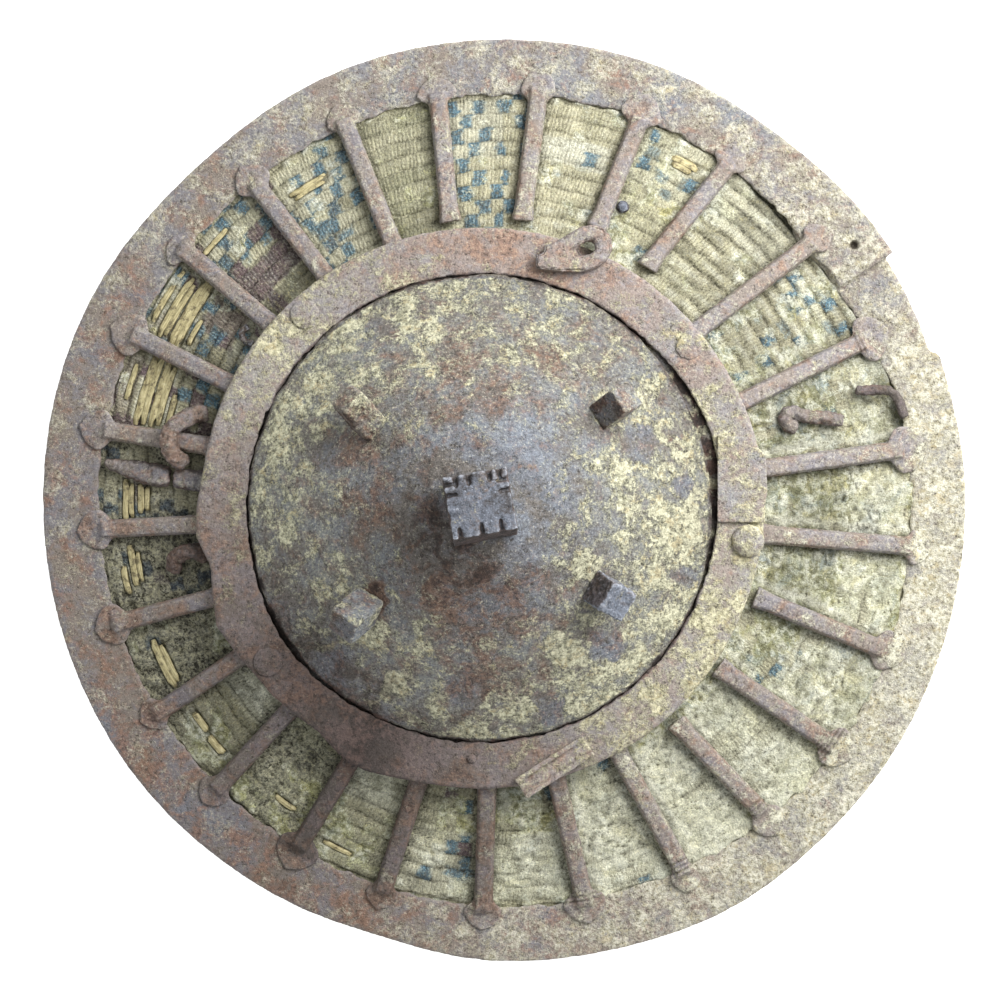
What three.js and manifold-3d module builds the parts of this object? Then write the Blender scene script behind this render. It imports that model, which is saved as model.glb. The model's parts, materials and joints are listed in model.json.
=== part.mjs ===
// A round buckler: a disc of coiled cane held in an iron frame, with a pointed iron boss, lying on its back.
// Units are millimetres. +Z is up, through the boss, and +Y is the shield's top.
// The rim's centre stands over the origin and the disc's underside is at z = 0.
// Angles are in degrees, clockwise from the top (+Y), seen from the front.

import * as THREE from 'three';
import { mergeVertices } from 'three/addons/utils/BufferGeometryUtils.js';
import Module from 'manifold-3d';

const wasm = await Module();
wasm.setup();
const { degToRad, euclideanModulo, lerp, smoothstep } = THREE.MathUtils;

// ---------- driving dimensions ----------

const GAP = 0.3; // clearance between pieces that touch

// Coiled cane disc
const DISC_RADIUS = 172;
const FLANGE_THICKNESS = 5; // flat outer part, under the iron rim
const CONE_FOOT_RADIUS = 155; // inside this radius the coils climb towards the boss
const CONE_SLOPE = 0.232;
const COIL_PITCH = 5.5;
const COIL_DEPTH = 1.2;
const COIL_COUNT = 10;
const DISC_SEGMENTS = 38;
const CANE_THICKNESS = 5.5;
const DISC_HOLE_RADIUS = 79.5;
const SEAT_RADIUS = 100.5; // thick hub of cane that the boss's flange and the iron ring sit on
const SEAT_STEP_RADIUS = 91.9; // the flange lies inside this step
const SEAT_TOP = 22.3;
const SEAT_BASE = 9.5;

// Iron rim, one hoop whose two ends overlap
const RIM_RADIUS = 175.2;
const RIM_INNER_RADIUS = 153.9;
const RIM_THICKNESS = 2;
const RIM_BASE = FLANGE_THICKNESS + GAP;
const RIM_TOP = RIM_BASE + RIM_THICKNESS;
const LAP_END = 57.5; // the upper end stops here
const LAP_STEP = 71; // the lower end narrows and dips here
const LAP_TIP = 47; // the lower end's hidden tip
const LAP_DROP = RIM_THICKNESS + GAP;
const LAP_NARROWING = 3.2;
const LAP_HOLE = { angle: 53.9, radius: 164.4, size: 1.3 };

// Boss and the iron ring around it, set off the rim's centre
const BOSS_X = -8.7;
const BOSS_Y = -2.8;
const BOSS_RADIUS = 85.4;
const BOSS_APEX = 76;
const BOSS_SLOPE = 0.7;
const BOSS_POINT_ROUNDING = 18;
const BOSS_WALL = 2.2;
const BOSS_STATIONS = [BOSS_RADIUS, 66, 46, 30, 16, 7, 0]; // radii of the dome's outer profile, on a rounded cone
const BOSS_SEGMENTS = 40;
const BOSS_FLANGE_RADIUS = 91;
const BOSS_FLANGE_BASE = SEAT_TOP + 0.4;
const BOSS_FLANGE_TOP = BOSS_FLANGE_BASE + 2.1;
const RING_RADIUS = 104.7;
const RING_INNER_RADIUS = 87.2;
const RING_BASE = BOSS_FLANGE_TOP + GAP;
const RING_TOP = RING_BASE + 2.2;

// Radial bars, hammered out into a flat spade at the rim
const BAR_WIDTH = 7.6;
const BAR_TOP_WIDTH = 5.2;
const BAR_HEIGHT = 4;
const BAR_RISE_START = 149;
const BAR_INNER_BASE = 20.5;
const BAR_TUCK = 3.7; // how far a sound bar runs in under the ring
const SPADE_THICKNESS = 1.8;

// One row for each bar: angle at the rim, angle at the ring, spade's inner and outer radius, spade's width,
// radius where the raised shaft stops, and how far the inner end stops short of the ring (rusted away).
const BARS = [
  { rim: 4.7, ring: 3.5, spade: [152, 167], width: 14.5, shaft: 157, short: 4 },
  { rim: 19.5, ring: 18.5, spade: [151.5, 166], width: 16.5, shaft: 154, short: 9 },
  { rim: 33.6, ring: 31, spade: [151, 164], width: 14, shaft: 153, short: 4.5 },
  { rim: 50, ring: 48.5, spade: [150, 163], width: 12.5, shaft: 152.5 },
  { rim: 66, ring: 67.5, spade: [146.5, 162.5], width: 18.5, shaft: 149.5 },
  { rim: 82.7, ring: 83, spade: [147.5, 165], width: 18.5, shaft: 152 },
  { rim: 96.5, ring: 97.5, spade: [153, 165], width: 14.5, shaft: 155, short: 0.3 },
  { rim: 111.5, ring: 111, spade: [150.5, 166], width: 16.5, shaft: 154.5, short: 3 },
  { rim: 126.8, ring: 128, spade: [151.5, 166.5], width: 17, shaft: 156.5, short: 2 },
  { rim: 140.5, ring: 142.5, spade: [152, 167], width: 14, shaft: 153.5, short: 3.5 },
  { rim: 154.3, ring: 155.8, spade: [153, 167], width: 12, shaft: 157 },
  { rim: 168.7, ring: 169.5, spade: [151, 166.5], width: 17, shaft: 157 },
  { rim: 183, ring: 183.5, spade: [152, 165.5], width: 15, shaft: 156 },
  { rim: 197.3, ring: 197, spade: [152, 164.5], width: 13, shaft: 155.5 },
  { rim: 210.7, ring: 210.5, spade: [148.5, 165], width: 17.5, shaft: 153 },
  { rim: 225, ring: 225.8, spade: [151, 164.5], width: 13.5, shaft: 155 },
  { rim: 238.6, ring: 239.5, spade: [151, 163.5], width: 13.5, shaft: 155.5 },
  { rim: 252.3, ring: 251.5, spade: [150, 166], width: 16.5, shaft: 156 },
  { rim: 265.9, ring: 265.5, spade: [149.5, 165.5], width: 16, shaft: 153 },
  { rim: 280, ring: 280.5, spade: [151, 166.5], width: 16, shaft: 154 },
  { rim: 294, ring: 293, spade: [149.5, 166.5], width: 17.5, shaft: 154.5 },
  { rim: 308, ring: 307, spade: [152, 163], width: 15.5, shaft: 156.5 },
  { rim: 321.8, ring: 321.5, spade: [149.5, 164], width: 15, shaft: 153.5 },
  { rim: 337, ring: 336.5, spade: [153, 165.5], width: 14, shaft: 157 },
  { rim: 350.5, ring: 348.8, spade: [153, 165], width: 16, shaft: 156.5, short: 3 },
];

// Slow changes of radius around the rim and the ring: angle, change and spread
const RIM_OUTER_SHAPE = [[37, -1.7, 11], [76, -0.9, 8], [128, 0.9, 18], [151, 1.7, 11], [196, -2.9, 10],
  [213, -1.6, 14], [317, -2.9, 16]];
const RIM_INNER_SHAPE = [[51, -3.8, 15], [130, 3, 26], [213, -1, 22], [300, -1, 16]];
const RING_OUTER_SHAPE = [[85, 1.4, 20], [205, 2.6, 7], [218, -2, 5], [246, 3.4, 7], [256, -2.6, 4], [266, 2.4, 6]];
const RING_INNER_SHAPE = [[72, 2.8, 20], [235, 1.6, 22]];

// Studs on the boss
const CENTRE_STUD = { width: 23, depth: 22.4, top: 94, turn: 10.4, lean: 6.5 };
const NOTCH = { width: 1.2, length: 4.6, depth: 1.6 };
const NOTCHES = { top: [0.19, 0.39, 0.71, 0.87], right: [0.2, 0.37], bottom: [0.12, 0.46, 0.76], left: [0.13, 0.3] };
const SMALL_STUDS = {
  stud_upper_left: { angle: 307, radius: 50.5, direction: 320, lean: 50, width: 9.6, length: 15.5, twist: 8 },
  stud_upper_right: { angle: 52.8, radius: 57.5, direction: 51.8, lean: 42, width: 10.4, length: 13.8, twist: -8 },
  stud_lower_right: { angle: 124.3, radius: 53, direction: 124, lean: 30, width: 11.4, length: 14, twist: 4 },
  stud_lower_left: { angle: 229.6, radius: 55, direction: 229, lean: 50, width: 11, length: 14, twist: 22 },
};

// Fittings: where each lies on the shield
const RIVETS = {
  ring_rivet_upper_left: { x: -74.2, y: 69.4, radius: 6, height: 1.3, shank: 2.4 },
  ring_rivet_lower_left: { x: -88, y: -60, radius: 6, height: 1.3, shank: 2.4 },
  ring_rivet_right: { x: 90.6, y: -15, radius: 6.2, height: 3.4, shank: 2.4 },
  ring_rivet_upper_right: { x: 68.7, y: 57.3, radius: 5.4, height: 0.9, shank: 2.4 },
  ring_nail: { x: -12.1, y: -96, radius: 1.9, height: 1.1, shank: 1.1 },
};
const RIVET_SIDES = 8;
const RIVET_BASE = SEAT_BASE - 1.5; // underside of the hammered-over end
const CANE_NAIL = { x: 44.6, y: 110.6, radius: 2.2, height: 2.6 };
const PATCH_THICKNESS = 1.6;
const PATCH_OUTLINE = [[79.2, -8.2], [95.6, -8.2], [97.9, 4], [97.2, 16], [91.6, 23.6], [79.2, 24.4]];

// Bent iron fragments: the middle line of each
const HOOK_LINE = [[12.5, 88.8], [20.6, 87.8], [29.9, 87.9], [35.2, 90.3], [37.2, 94.4], [35.4, 98.6], [31, 99.4],
  [26.2, 97], [20.6, 93.6], [16, 92]];
const HOOK_WIDTH = 3.8;
const HOOK_HEIGHT = 4;
const LINK_LINE = [[-121, 14.2, 18], [-124.4, 17.6, 21.4], [-125.9, 22.3, 21.9], [-124.4, 26.9, 21.2],
  [-120.6, 30, 18.6], [-116.3, 32.4, 16.8], [-112.4, 32.6, 16.4]];
const LOOP_LINE = [[-124.6, -25.4, 12.8], [-123.9, -22, 15.5], [-120.6, -19.6, 17.8], [-115.8, -19, 18.2],
  [-112, -20.8, 17]];
const CURL_LINE = [[-94.6, 58.8, 17.4], [-97.8, 60.2, 16.4], [-98.8, 63.4, 15.6], [-96.6, 65.4, 16.2]];
const INNER_PIN_LINE = [[126.9, 30.3, 12.4], [119.6, 31.2, 14.2], [112.2, 31.8, 16], [107.8, 33.4, 17.3],
  [105, 31.2, 18.2], [106.2, 28.2, 18], [109, 27.6, 17]];
const OUTER_PIN_LINE = [[133.4, 41.5, 9.6], [140, 41.7, 9.5], [146, 41.4, 9.7], [149.2, 37.8, 9.6], [151.3, 31.8, 9.4]];
const STRAP = { x: 18.6, y: -99, turn: 33, length: 30, width: 8.6, floor: 1.3, lip: 2.8 };

// ---------- small helpers ----------

const polar = (angle, radius) => {
  const turn = degToRad(angle);
  return new THREE.Vector2(radius * Math.sin(turn), radius * Math.cos(turn));
};

const angleOf = (x, y) => euclideanModulo(THREE.MathUtils.radToDeg(Math.atan2(x, y)), 360);

const shaped = (angle, radius, shape) => {
  let result = radius;
  for (const [centre, change, spread] of shape) {
    const away = euclideanModulo(angle - centre + 180, 360) - 180;
    result += change * Math.exp(-((away / spread) ** 2));
  }
  return result;
};

const caneTop = (radius) => FLANGE_THICKNESS + Math.max(0, CONE_FOOT_RADIUS - radius) * CONE_SLOPE;

const bossTop = (radius) =>
  BOSS_APEX - BOSS_SLOPE * (Math.hypot(radius, BOSS_POINT_ROUNDING) - BOSS_POINT_ROUNDING);

// Moves every vertex of a geometry with a function from one point to another.
const moveVertices = (geometry, move) => {
  const positions = geometry.attributes.position;
  const point = new THREE.Vector3();
  for (let i = 0; i < positions.count; i += 1) {
    point.fromBufferAttribute(positions, i);
    move(point);
    positions.setXYZ(i, point.x, point.y, point.z);
  }
  return geometry;
};

// Turns a profile of [radius, height] points around the vertical axis.
const turned = (profile, segments) => {
  const points = profile.map(([radius, height]) => new THREE.Vector2(radius, height));
  return new THREE.LatheGeometry(points, segments).rotateX(Math.PI / 2);
};

// A bar with a four-sided section: one station for each step along it gives the section's four corners.
const stationBar = (stations, corner) => {
  const steps = stations.length - 1;
  const box = new THREE.BoxGeometry(1, 1, 1, 1, steps, 1);
  return moveVertices(box, (point) => {
    const station = stations[Math.round((point.y + 0.5) * steps)];
    point.copy(corner(station, Math.sign(point.x), point.z > 0));
  });
};

// A rod of even thickness along a smooth line through [x, y, z] points.
const rod = (line, radius, steps) => {
  const path = new THREE.CatmullRomCurve3(line.map(([x, y, z]) => new THREE.Vector3(x, y, z)));
  const section = new THREE.Shape();
  const sides = 7;
  for (let i = 0; i < sides; i += 1) {
    const corner = polar((360 * i) / sides, radius);
    section[i === 0 ? 'moveTo' : 'lineTo'](corner.x, corner.y);
  }
  section.closePath();
  return new THREE.ExtrudeGeometry(section, { steps, extrudePath: path, bevelEnabled: false });
};

const toSolid = (geometry) => {
  const bare = geometry.clone();
  bare.deleteAttribute('normal');
  bare.deleteAttribute('uv');
  const merged = mergeVertices(bare, 1e-4);
  const mesh = new wasm.Mesh({
    numProp: 3,
    vertProperties: new Float32Array(merged.attributes.position.array),
    triVerts: new Uint32Array(merged.index.array),
  });
  return new wasm.Manifold(mesh);
};

const fromSolid = (solid) => {
  const mesh = solid.getMesh();
  const geometry = new THREE.BufferGeometry();
  geometry.setAttribute('position', new THREE.BufferAttribute(new Float32Array(mesh.vertProperties), 3));
  geometry.setIndex(new THREE.BufferAttribute(new Uint32Array(mesh.triVerts), 1));
  return geometry;
};

// ---------- materials and the group ----------

const RUST = new THREE.Color(0x75635c);
const DARK_IRON = new THREE.Color(0x5f5452);
const CANE = new THREE.Color(0xb6ab7c);

const shield = new THREE.Group();

const addPiece = (name, geometry, colour, metalness = 0.5) => {
  const material = new THREE.MeshStandardMaterial({ color: colour, roughness: 0.85, metalness });
  const mesh = new THREE.Mesh(geometry, material);
  mesh.name = name;
  shield.add(mesh);
  return mesh;
};

const placeOnBossAxis = (mesh) => mesh.position.set(BOSS_X, BOSS_Y, 0);

// ---------- coiled cane disc ----------

// How far the flange is let down to make room for the rim's lower end.
const lapDip = (x, y) => {
  const angle = angleOf(x, y);
  const around = smoothstep(angle, LAP_TIP - 13, LAP_TIP - 5) * (1 - smoothstep(angle, LAP_STEP + 7, LAP_STEP + 15));
  return (LAP_DROP + 0.6) * around * smoothstep(Math.hypot(x, y), SEAT_RADIUS + 6, CONE_FOOT_RADIUS - 8);
};

const rivetHole = ({ x, y, shank }) =>
  toSolid(
    new THREE.CylinderGeometry(shank + GAP, shank + GAP, 60, RIVET_SIDES)
      .rotateX(Math.PI / 2)
      .translate(x, y, 0),
  );

const drillForRivets = (solid) =>
  Object.values(RIVETS).reduce((drilled, rivet) => drilled.subtract(rivetHole(rivet)), solid);

const makeCone = () => {
  const coilStart = RIM_INNER_RADIUS - 0.9;
  const coilEnd = coilStart - COIL_COUNT * COIL_PITCH;
  const core = 70;
  const profile = [
    [core, caneTop(coilEnd) - CANE_THICKNESS],
    [coilEnd, caneTop(coilEnd) - CANE_THICKNESS],
    [RIM_INNER_RADIUS, 0],
    [DISC_RADIUS, 0],
    [DISC_RADIUS, FLANGE_THICKNESS],
    [coilStart, FLANGE_THICKNESS],
  ];
  for (let coil = 0; coil < COIL_COUNT; coil += 1) {
    const valley = coilStart - coil * COIL_PITCH - 0.7;
    const crown = valley - COIL_PITCH / 2;
    profile.push([valley, caneTop(valley) - COIL_DEPTH]);
    profile.push([crown, caneTop(crown)]);
  }
  profile.push([core, caneTop(coilEnd)]);
  profile.push(profile[0]);
  return moveVertices(turned(profile, DISC_SEGMENTS), (point) => {
    const { x, y } = point;
    const angle = angleOf(x, y);
    const radius = Math.hypot(x, y);
    const isTop = point.z > FLANGE_THICKNESS / 2;
    if (isTop && radius > shaped(angle, RIM_INNER_RADIUS, RIM_INNER_SHAPE) - 3.2) {
      point.z = FLANGE_THICKNESS;
    }
    if (radius > DISC_RADIUS - 1) {
      const scale = (shaped(angle, RIM_RADIUS, RIM_OUTER_SHAPE) - LAP_NARROWING - 0.6) / radius;
      point.set(x * scale, y * scale, point.z);
    }
    point.z -= isTop ? lapDip(x, y) : 0;
  });
};

const makeCaneDisc = () => {
  const hub = turned([
    [DISC_HOLE_RADIUS - 1, SEAT_BASE],
    [SEAT_RADIUS, SEAT_BASE],
    [SEAT_RADIUS, BOSS_FLANGE_TOP],
    [SEAT_STEP_RADIUS, BOSS_FLANGE_TOP],
    [SEAT_STEP_RADIUS, SEAT_TOP],
    [DISC_HOLE_RADIUS - 1, SEAT_TOP],
    [DISC_HOLE_RADIUS - 1, SEAT_BASE],
  ], DISC_SEGMENTS).translate(BOSS_X, BOSS_Y, 0);
  const hole = new THREE.CylinderGeometry(DISC_HOLE_RADIUS, DISC_HOLE_RADIUS, 60, DISC_SEGMENTS)
    .rotateX(Math.PI / 2)
    .translate(BOSS_X, BOSS_Y, 0);
  return fromSolid(drillForRivets(toSolid(makeCone()).add(toSolid(hub)).subtract(toSolid(hole))));
};

addPiece('wicker_body', makeCaneDisc(), CANE, 0);

// ---------- iron rim ----------

const makeRim = () => {
  const lowerTip = LAP_TIP - 360;
  const lowerStep = LAP_STEP - 360;
  const angles = [];
  const bandSteps = 84;
  for (let i = 0; i <= bandSteps; i += 1) {
    angles.push(lerp(LAP_END, lowerStep + 5, i / bandSteps));
  }
  angles.push(lowerStep + 2.5, lowerStep + 0.4, lowerStep - 0.4);
  const tongueSteps = 6;
  for (let i = 1; i <= tongueSteps; i += 1) {
    angles.push(lerp(lowerStep - 0.4, lowerTip, i / tongueSteps));
  }
  const band = stationBar(angles, (angle, side, isTop) => {
    const isTongue = angle < lowerStep;
    const outer = shaped(angle, RIM_RADIUS, RIM_OUTER_SHAPE) - (isTongue ? LAP_NARROWING : 0);
    const inner = shaped(angle, RIM_INNER_RADIUS, RIM_INNER_SHAPE) - (isTongue ? 1.2 : 0);
    const drop = LAP_DROP * smoothstep(-angle, -(lowerStep + 5), -(lowerStep + 0.4));
    const corner = polar(angle, side > 0 ? outer : inner);
    return new THREE.Vector3(corner.x, corner.y, (isTop ? RIM_TOP : RIM_BASE) - drop);
  });
  const hole = polar(LAP_HOLE.angle, LAP_HOLE.radius);
  const drill = new THREE.CylinderGeometry(LAP_HOLE.size, LAP_HOLE.size, RIM_THICKNESS + GAP, 8)
    .rotateX(Math.PI / 2)
    .translate(hole.x, hole.y, RIM_BASE + RIM_THICKNESS / 2 + 0.1);
  return fromSolid(toSolid(band).subtract(toSolid(drill)));
};

addPiece('rim_hoop', makeRim(), RUST);

// ---------- boss and its ring ----------

const makeBoss = () => {
  const profile = [
    [BOSS_RADIUS - BOSS_WALL, BOSS_FLANGE_BASE],
    [BOSS_FLANGE_RADIUS, BOSS_FLANGE_BASE],
    [BOSS_FLANGE_RADIUS, BOSS_FLANGE_TOP],
    [BOSS_RADIUS, BOSS_FLANGE_TOP],
  ];
  for (const radius of BOSS_STATIONS) {
    profile.push([radius, bossTop(radius)]);
  }
  const wall = BOSS_WALL * Math.hypot(1, BOSS_SLOPE);
  for (const radius of [0, 18, 44, BOSS_RADIUS - BOSS_WALL]) {
    profile.push([radius, bossTop(radius) - wall]);
  }
  profile.push(profile[0]);
  return turned(profile, BOSS_SEGMENTS);
};

const makeRing = () => {
  const profile = [
    [RING_INNER_RADIUS, RING_BASE],
    [RING_RADIUS, RING_BASE],
    [RING_RADIUS, RING_TOP - 0.5],
    [RING_RADIUS - 1.2, RING_TOP],
    [RING_INNER_RADIUS, RING_TOP],
    [RING_INNER_RADIUS, RING_BASE],
  ];
  const ring = moveVertices(turned(profile, 60), (point) => {
    const { x, y, z } = point;
    const radius = Math.hypot(x, y);
    const isOuter = radius > (RING_RADIUS + RING_INNER_RADIUS) / 2;
    const scale = shaped(angleOf(x, y), radius, isOuter ? RING_OUTER_SHAPE : RING_INNER_SHAPE) / radius;
    point.set(x * scale + BOSS_X, y * scale + BOSS_Y, z);
  });
  return fromSolid(drillForRivets(toSolid(ring)));
};

placeOnBossAxis(addPiece('boss', makeBoss(), RUST));
addPiece('inner_ring', makeRing(), RUST);

// ---------- studs, cut to sit on the boss ----------

// The boss filled solid and grown by the gap, used to cut the foot of each stud.
const bossFilled = (segments = BOSS_SEGMENTS) => {
  const cover = Math.cos(Math.PI / BOSS_SEGMENTS) / Math.cos(Math.PI / segments);
  const profile = [[0, 0], [BOSS_RADIUS * cover, 0]];
  for (const radius of BOSS_STATIONS) {
    profile.push([radius * cover, bossTop(radius) + GAP * Math.hypot(1, BOSS_SLOPE)]);
  }
  return toSolid(turned(profile, segments));
};

// A notch across one edge of the square top; fraction runs along that edge.
const makeNotch = (side, fraction) => {
  const { width, depth } = CENTRE_STUD;
  const across = side === 'top' || side === 'bottom';
  const notch = across
    ? new THREE.BoxGeometry(NOTCH.width, 2 * NOTCH.length, 2 * NOTCH.depth)
    : new THREE.BoxGeometry(2 * NOTCH.length, NOTCH.width, 2 * NOTCH.depth);
  const along = lerp(-0.5, 0.5, fraction);
  const place = {
    top: [along * width, depth / 2],
    right: [width / 2, -along * depth],
    bottom: [along * width, -depth / 2],
    left: [-width / 2, -along * depth],
  }[side];
  return toSolid(notch.translate(place[0], place[1], 0));
};

const makeCentreStud = () => {
  const { width, depth, top, turn, lean } = CENTRE_STUD;
  const height = 34;
  let stud = toSolid(new THREE.BoxGeometry(width, depth, height).translate(0, 0, -height / 2));
  for (const [side, fractions] of Object.entries(NOTCHES)) {
    for (const fraction of fractions) {
      stud = stud.subtract(makeNotch(side, fraction));
    }
  }
  const shift = Math.tan(degToRad(lean)) * (top - BOSS_APEX);
  const placed = fromSolid(stud)
    .rotateZ(degToRad(turn))
    .rotateX(-degToRad(lean))
    .translate(0, shift, top);
  return fromSolid(toSolid(placed).subtract(bossFilled(16)));
};

const makeSmallStud = ({ angle, radius, direction, lean, width, length, twist }) => {
  const foot = polar(angle, radius);
  const root = 12;
  const shank = new THREE.BoxGeometry(width, width, length + root);
  moveVertices(shank, (point) => {
    const taper = point.z > 0 ? 0.97 : 1.04;
    point.set(point.x * taper, point.y * taper, point.z);
  });
  shank
    .translate(0, 0, (length - root) / 2)
    .rotateZ(degToRad(twist))
    .rotateX(-degToRad(lean))
    .rotateZ(-degToRad(direction))
    .translate(foot.x, foot.y, bossTop(radius));
  return fromSolid(toSolid(shank).subtract(bossFilled()));
};

placeOnBossAxis(addPiece('central_stud', makeCentreStud(), DARK_IRON));
for (const [name, stud] of Object.entries(SMALL_STUDS)) {
  placeOnBossAxis(addPiece(name, makeSmallStud(stud), DARK_IRON));
}

// ---------- radial bars ----------

// Distance from the rim's centre to a circle around the boss's axis, in one direction.
const reachTo = (angle, radius) => {
  const direction = polar(angle, 1);
  const along = direction.x * BOSS_X + direction.y * BOSS_Y;
  return along + Math.sqrt(along ** 2 - BOSS_X ** 2 - BOSS_Y ** 2 + radius ** 2);
};

const makeSpade = ({ rim, spade, width }, base) => {
  const [inner, outer] = spade;
  const length = outer - inner;
  const side = new THREE.SplineCurve([
    new THREE.Vector2(0.27, 0),
    new THREE.Vector2(0.5, 0.3),
    new THREE.Vector2(0.36, 0.6),
    new THREE.Vector2(0.17, 0.84),
    new THREE.Vector2(0.07, 1),
  ]).getPoints(5);
  const right = side.map((point) => new THREE.Vector2(point.x * width, inner + point.y * length));
  const left = right.map((point) => new THREE.Vector2(-point.x, point.y)).reverse();
  const outline = new THREE.Shape([...right, ...left]);
  return new THREE.ExtrudeGeometry(outline, { depth: SPADE_THICKNESS, bevelEnabled: false })
    .rotateZ(-degToRad(rim))
    .translate(0, 0, base);
};

const makeShaft = ({ rim, ring, shaft, short = -BAR_TUCK }, base) => {
  const start = reachTo(ring, RING_RADIUS + short);
  const sound = reachTo(ring, RING_RADIUS - BAR_TUCK);
  const slope = (BAR_INNER_BASE - base) / (BAR_RISE_START - sound);
  const stations = [start, start + 6, BAR_RISE_START, shaft - 0.6, shaft];
  return stationBar(stations, (radius, side, isTop) => {
    const angle = lerp(ring, rim, (radius - sound) / (BAR_RISE_START - sound));
    const centre = polar(Math.abs(radius - shaft) < 1 ? rim : angle, radius);
    const across = polar(angle + 90, 1);
    const flare = radius === start ? 0.7 : 0;
    const half = (isTop ? BAR_TOP_WIDTH : BAR_WIDTH) / 2 + flare;
    const foot = base + slope * Math.max(0, BAR_RISE_START - radius) + (radius > BAR_RISE_START ? 0.1 : 0);
    const height = radius === shaft ? BAR_HEIGHT * 0.7 : BAR_HEIGHT;
    return new THREE.Vector3(
      centre.x + side * half * across.x,
      centre.y + side * half * across.y,
      foot + (isTop ? height : 0),
    );
  });
};

BARS.forEach((bar, index) => {
  const onTongue = bar.rim > LAP_END && bar.rim < LAP_STEP;
  const base = RIM_TOP + GAP - (onTongue ? LAP_DROP : 0);
  const solid = toSolid(makeShaft(bar, base)).add(toSolid(makeSpade(bar, base)));
  addPiece(`bar_${String(index + 1).padStart(2, '0')}`, fromSolid(solid), RUST);
});

// ---------- rivets, nails and the patch on the ring ----------

const makeHead = (radius, height) =>
  turned([[0, 0], [radius, 0], [radius * 0.9, height * 0.55], [radius * 0.6, height * 0.9], [0, height]], 10);

// A rivet through the ring and the hub, hammered over behind.
const makeRivet = ({ x, y, radius, height, shank }) => {
  const length = RING_TOP + GAP - RIVET_BASE;
  const stem = turned([
    [0, -length],
    [shank * 1.8, -length],
    [shank * 1.8, -length + 1.2],
    [shank, -length + 1.2],
    [shank, 0.2],
    [0, 0.2],
  ], RIVET_SIDES);
  return fromSolid(toSolid(makeHead(radius, height)).add(toSolid(stem))).translate(x, y, RING_TOP + GAP);
};

for (const [name, rivet] of Object.entries(RIVETS)) {
  addPiece(name, makeRivet(rivet), DARK_IRON);
}

const caneNailBase = caneTop(Math.hypot(CANE_NAIL.x, CANE_NAIL.y)) + 0.6;
addPiece(
  'cane_nail',
  makeHead(CANE_NAIL.radius, CANE_NAIL.height).translate(CANE_NAIL.x, CANE_NAIL.y, caneNailBase),
  DARK_IRON,
);

const patchShape = new THREE.Shape(PATCH_OUTLINE.map(([x, y]) => new THREE.Vector2(x, y)));
addPiece(
  'ring_patch',
  new THREE.ExtrudeGeometry(patchShape, { depth: PATCH_THICKNESS, bevelEnabled: false })
    .translate(0, 0, RING_TOP + GAP),
  RUST,
);

// ---------- bent fragments ----------

const makeHook = () => {
  const middle = RING_TOP + GAP + HOOK_HEIGHT / 2;
  const path = new THREE.CatmullRomCurve3(HOOK_LINE.map(([x, y]) => new THREE.Vector3(x, y, middle)));
  const section = new THREE.Shape();
  section.moveTo(-HOOK_WIDTH / 2, -HOOK_HEIGHT / 2);
  section.lineTo(HOOK_WIDTH / 2, -HOOK_HEIGHT / 2);
  section.lineTo(HOOK_WIDTH / 2, HOOK_HEIGHT / 2);
  section.lineTo(-HOOK_WIDTH / 2, HOOK_HEIGHT / 2);
  section.closePath();
  return new THREE.ExtrudeGeometry(section, { steps: 18, extrudePath: path, bevelEnabled: false });
};

const makeStrap = () => {
  const half = STRAP.width / 2;
  const section = new THREE.Shape();
  section.moveTo(-half, 0);
  section.lineTo(half, 0);
  section.lineTo(half, STRAP.lip);
  section.lineTo(half - 1.6, STRAP.lip);
  section.lineTo(half - 2.2, STRAP.floor);
  section.lineTo(-half + 2.2, STRAP.floor);
  section.lineTo(-half + 1.6, STRAP.lip);
  section.lineTo(-half, STRAP.lip);
  section.closePath();
  return new THREE.ExtrudeGeometry(section, { depth: STRAP.length, bevelEnabled: false })
    .translate(0, 0, -STRAP.length / 2)
    .rotateX(Math.PI / 2)
    .rotateZ(degToRad(STRAP.turn + 90))
    .translate(STRAP.x, STRAP.y, RING_TOP + GAP);
};

// A length of a broken extra bar, lying on the coils between two sound ones.
const makeBrokenBar = (stations) =>
  stationBar(stations, ({ radius, angle, width, height }, side, isTop) => {
    const centre = polar(angle, radius);
    const across = polar(angle + 90, 1);
    const half = (width / 2) * (isTop ? 0.6 : 1);
    const foot = caneTop(radius) + GAP;
    return new THREE.Vector3(
      centre.x + side * half * across.x,
      centre.y + side * half * across.y,
      foot + (isTop ? height : 0),
    );
  });

addPiece('hook_top', makeHook(), RUST);
addPiece('strap_bottom', makeStrap(), RUST);
addPiece('link_left', rod(LINK_LINE, 2.4, 11), RUST);
addPiece('loop_lower_left', rod(LOOP_LINE, 1.5, 8), RUST);
addPiece('curl_upper_left', rod(CURL_LINE, 1.1, 6), DARK_IRON);
addPiece('pin_inner_right', rod(INNER_PIN_LINE, 1.9, 11), DARK_IRON);
addPiece('pin_outer_right', rod(OUTER_PIN_LINE, 1.6, 8), DARK_IRON);
addPiece('broken_bar_outer', makeBrokenBar([
  { radius: 127.4, angle: 274.1, width: 6.6, height: 4 },
  { radius: 132, angle: 274.2, width: 7.8, height: 4.6 },
  { radius: 138, angle: 274.5, width: 6.6, height: 4.2 },
  { radius: 145, angle: 275, width: 4.4, height: 3.4 },
  { radius: 151, angle: 275.4, width: 2.4, height: 2.4 },
]), RUST);
addPiece('broken_bar_inner', makeBrokenBar([
  { radius: 110.4, angle: 273.6, width: 7.4, height: 3.6 },
  { radius: 117, angle: 273.7, width: 7, height: 3.8 },
  { radius: 124.2, angle: 273.9, width: 6.4, height: 3.4 },
]), RUST);

export default shield;
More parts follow.
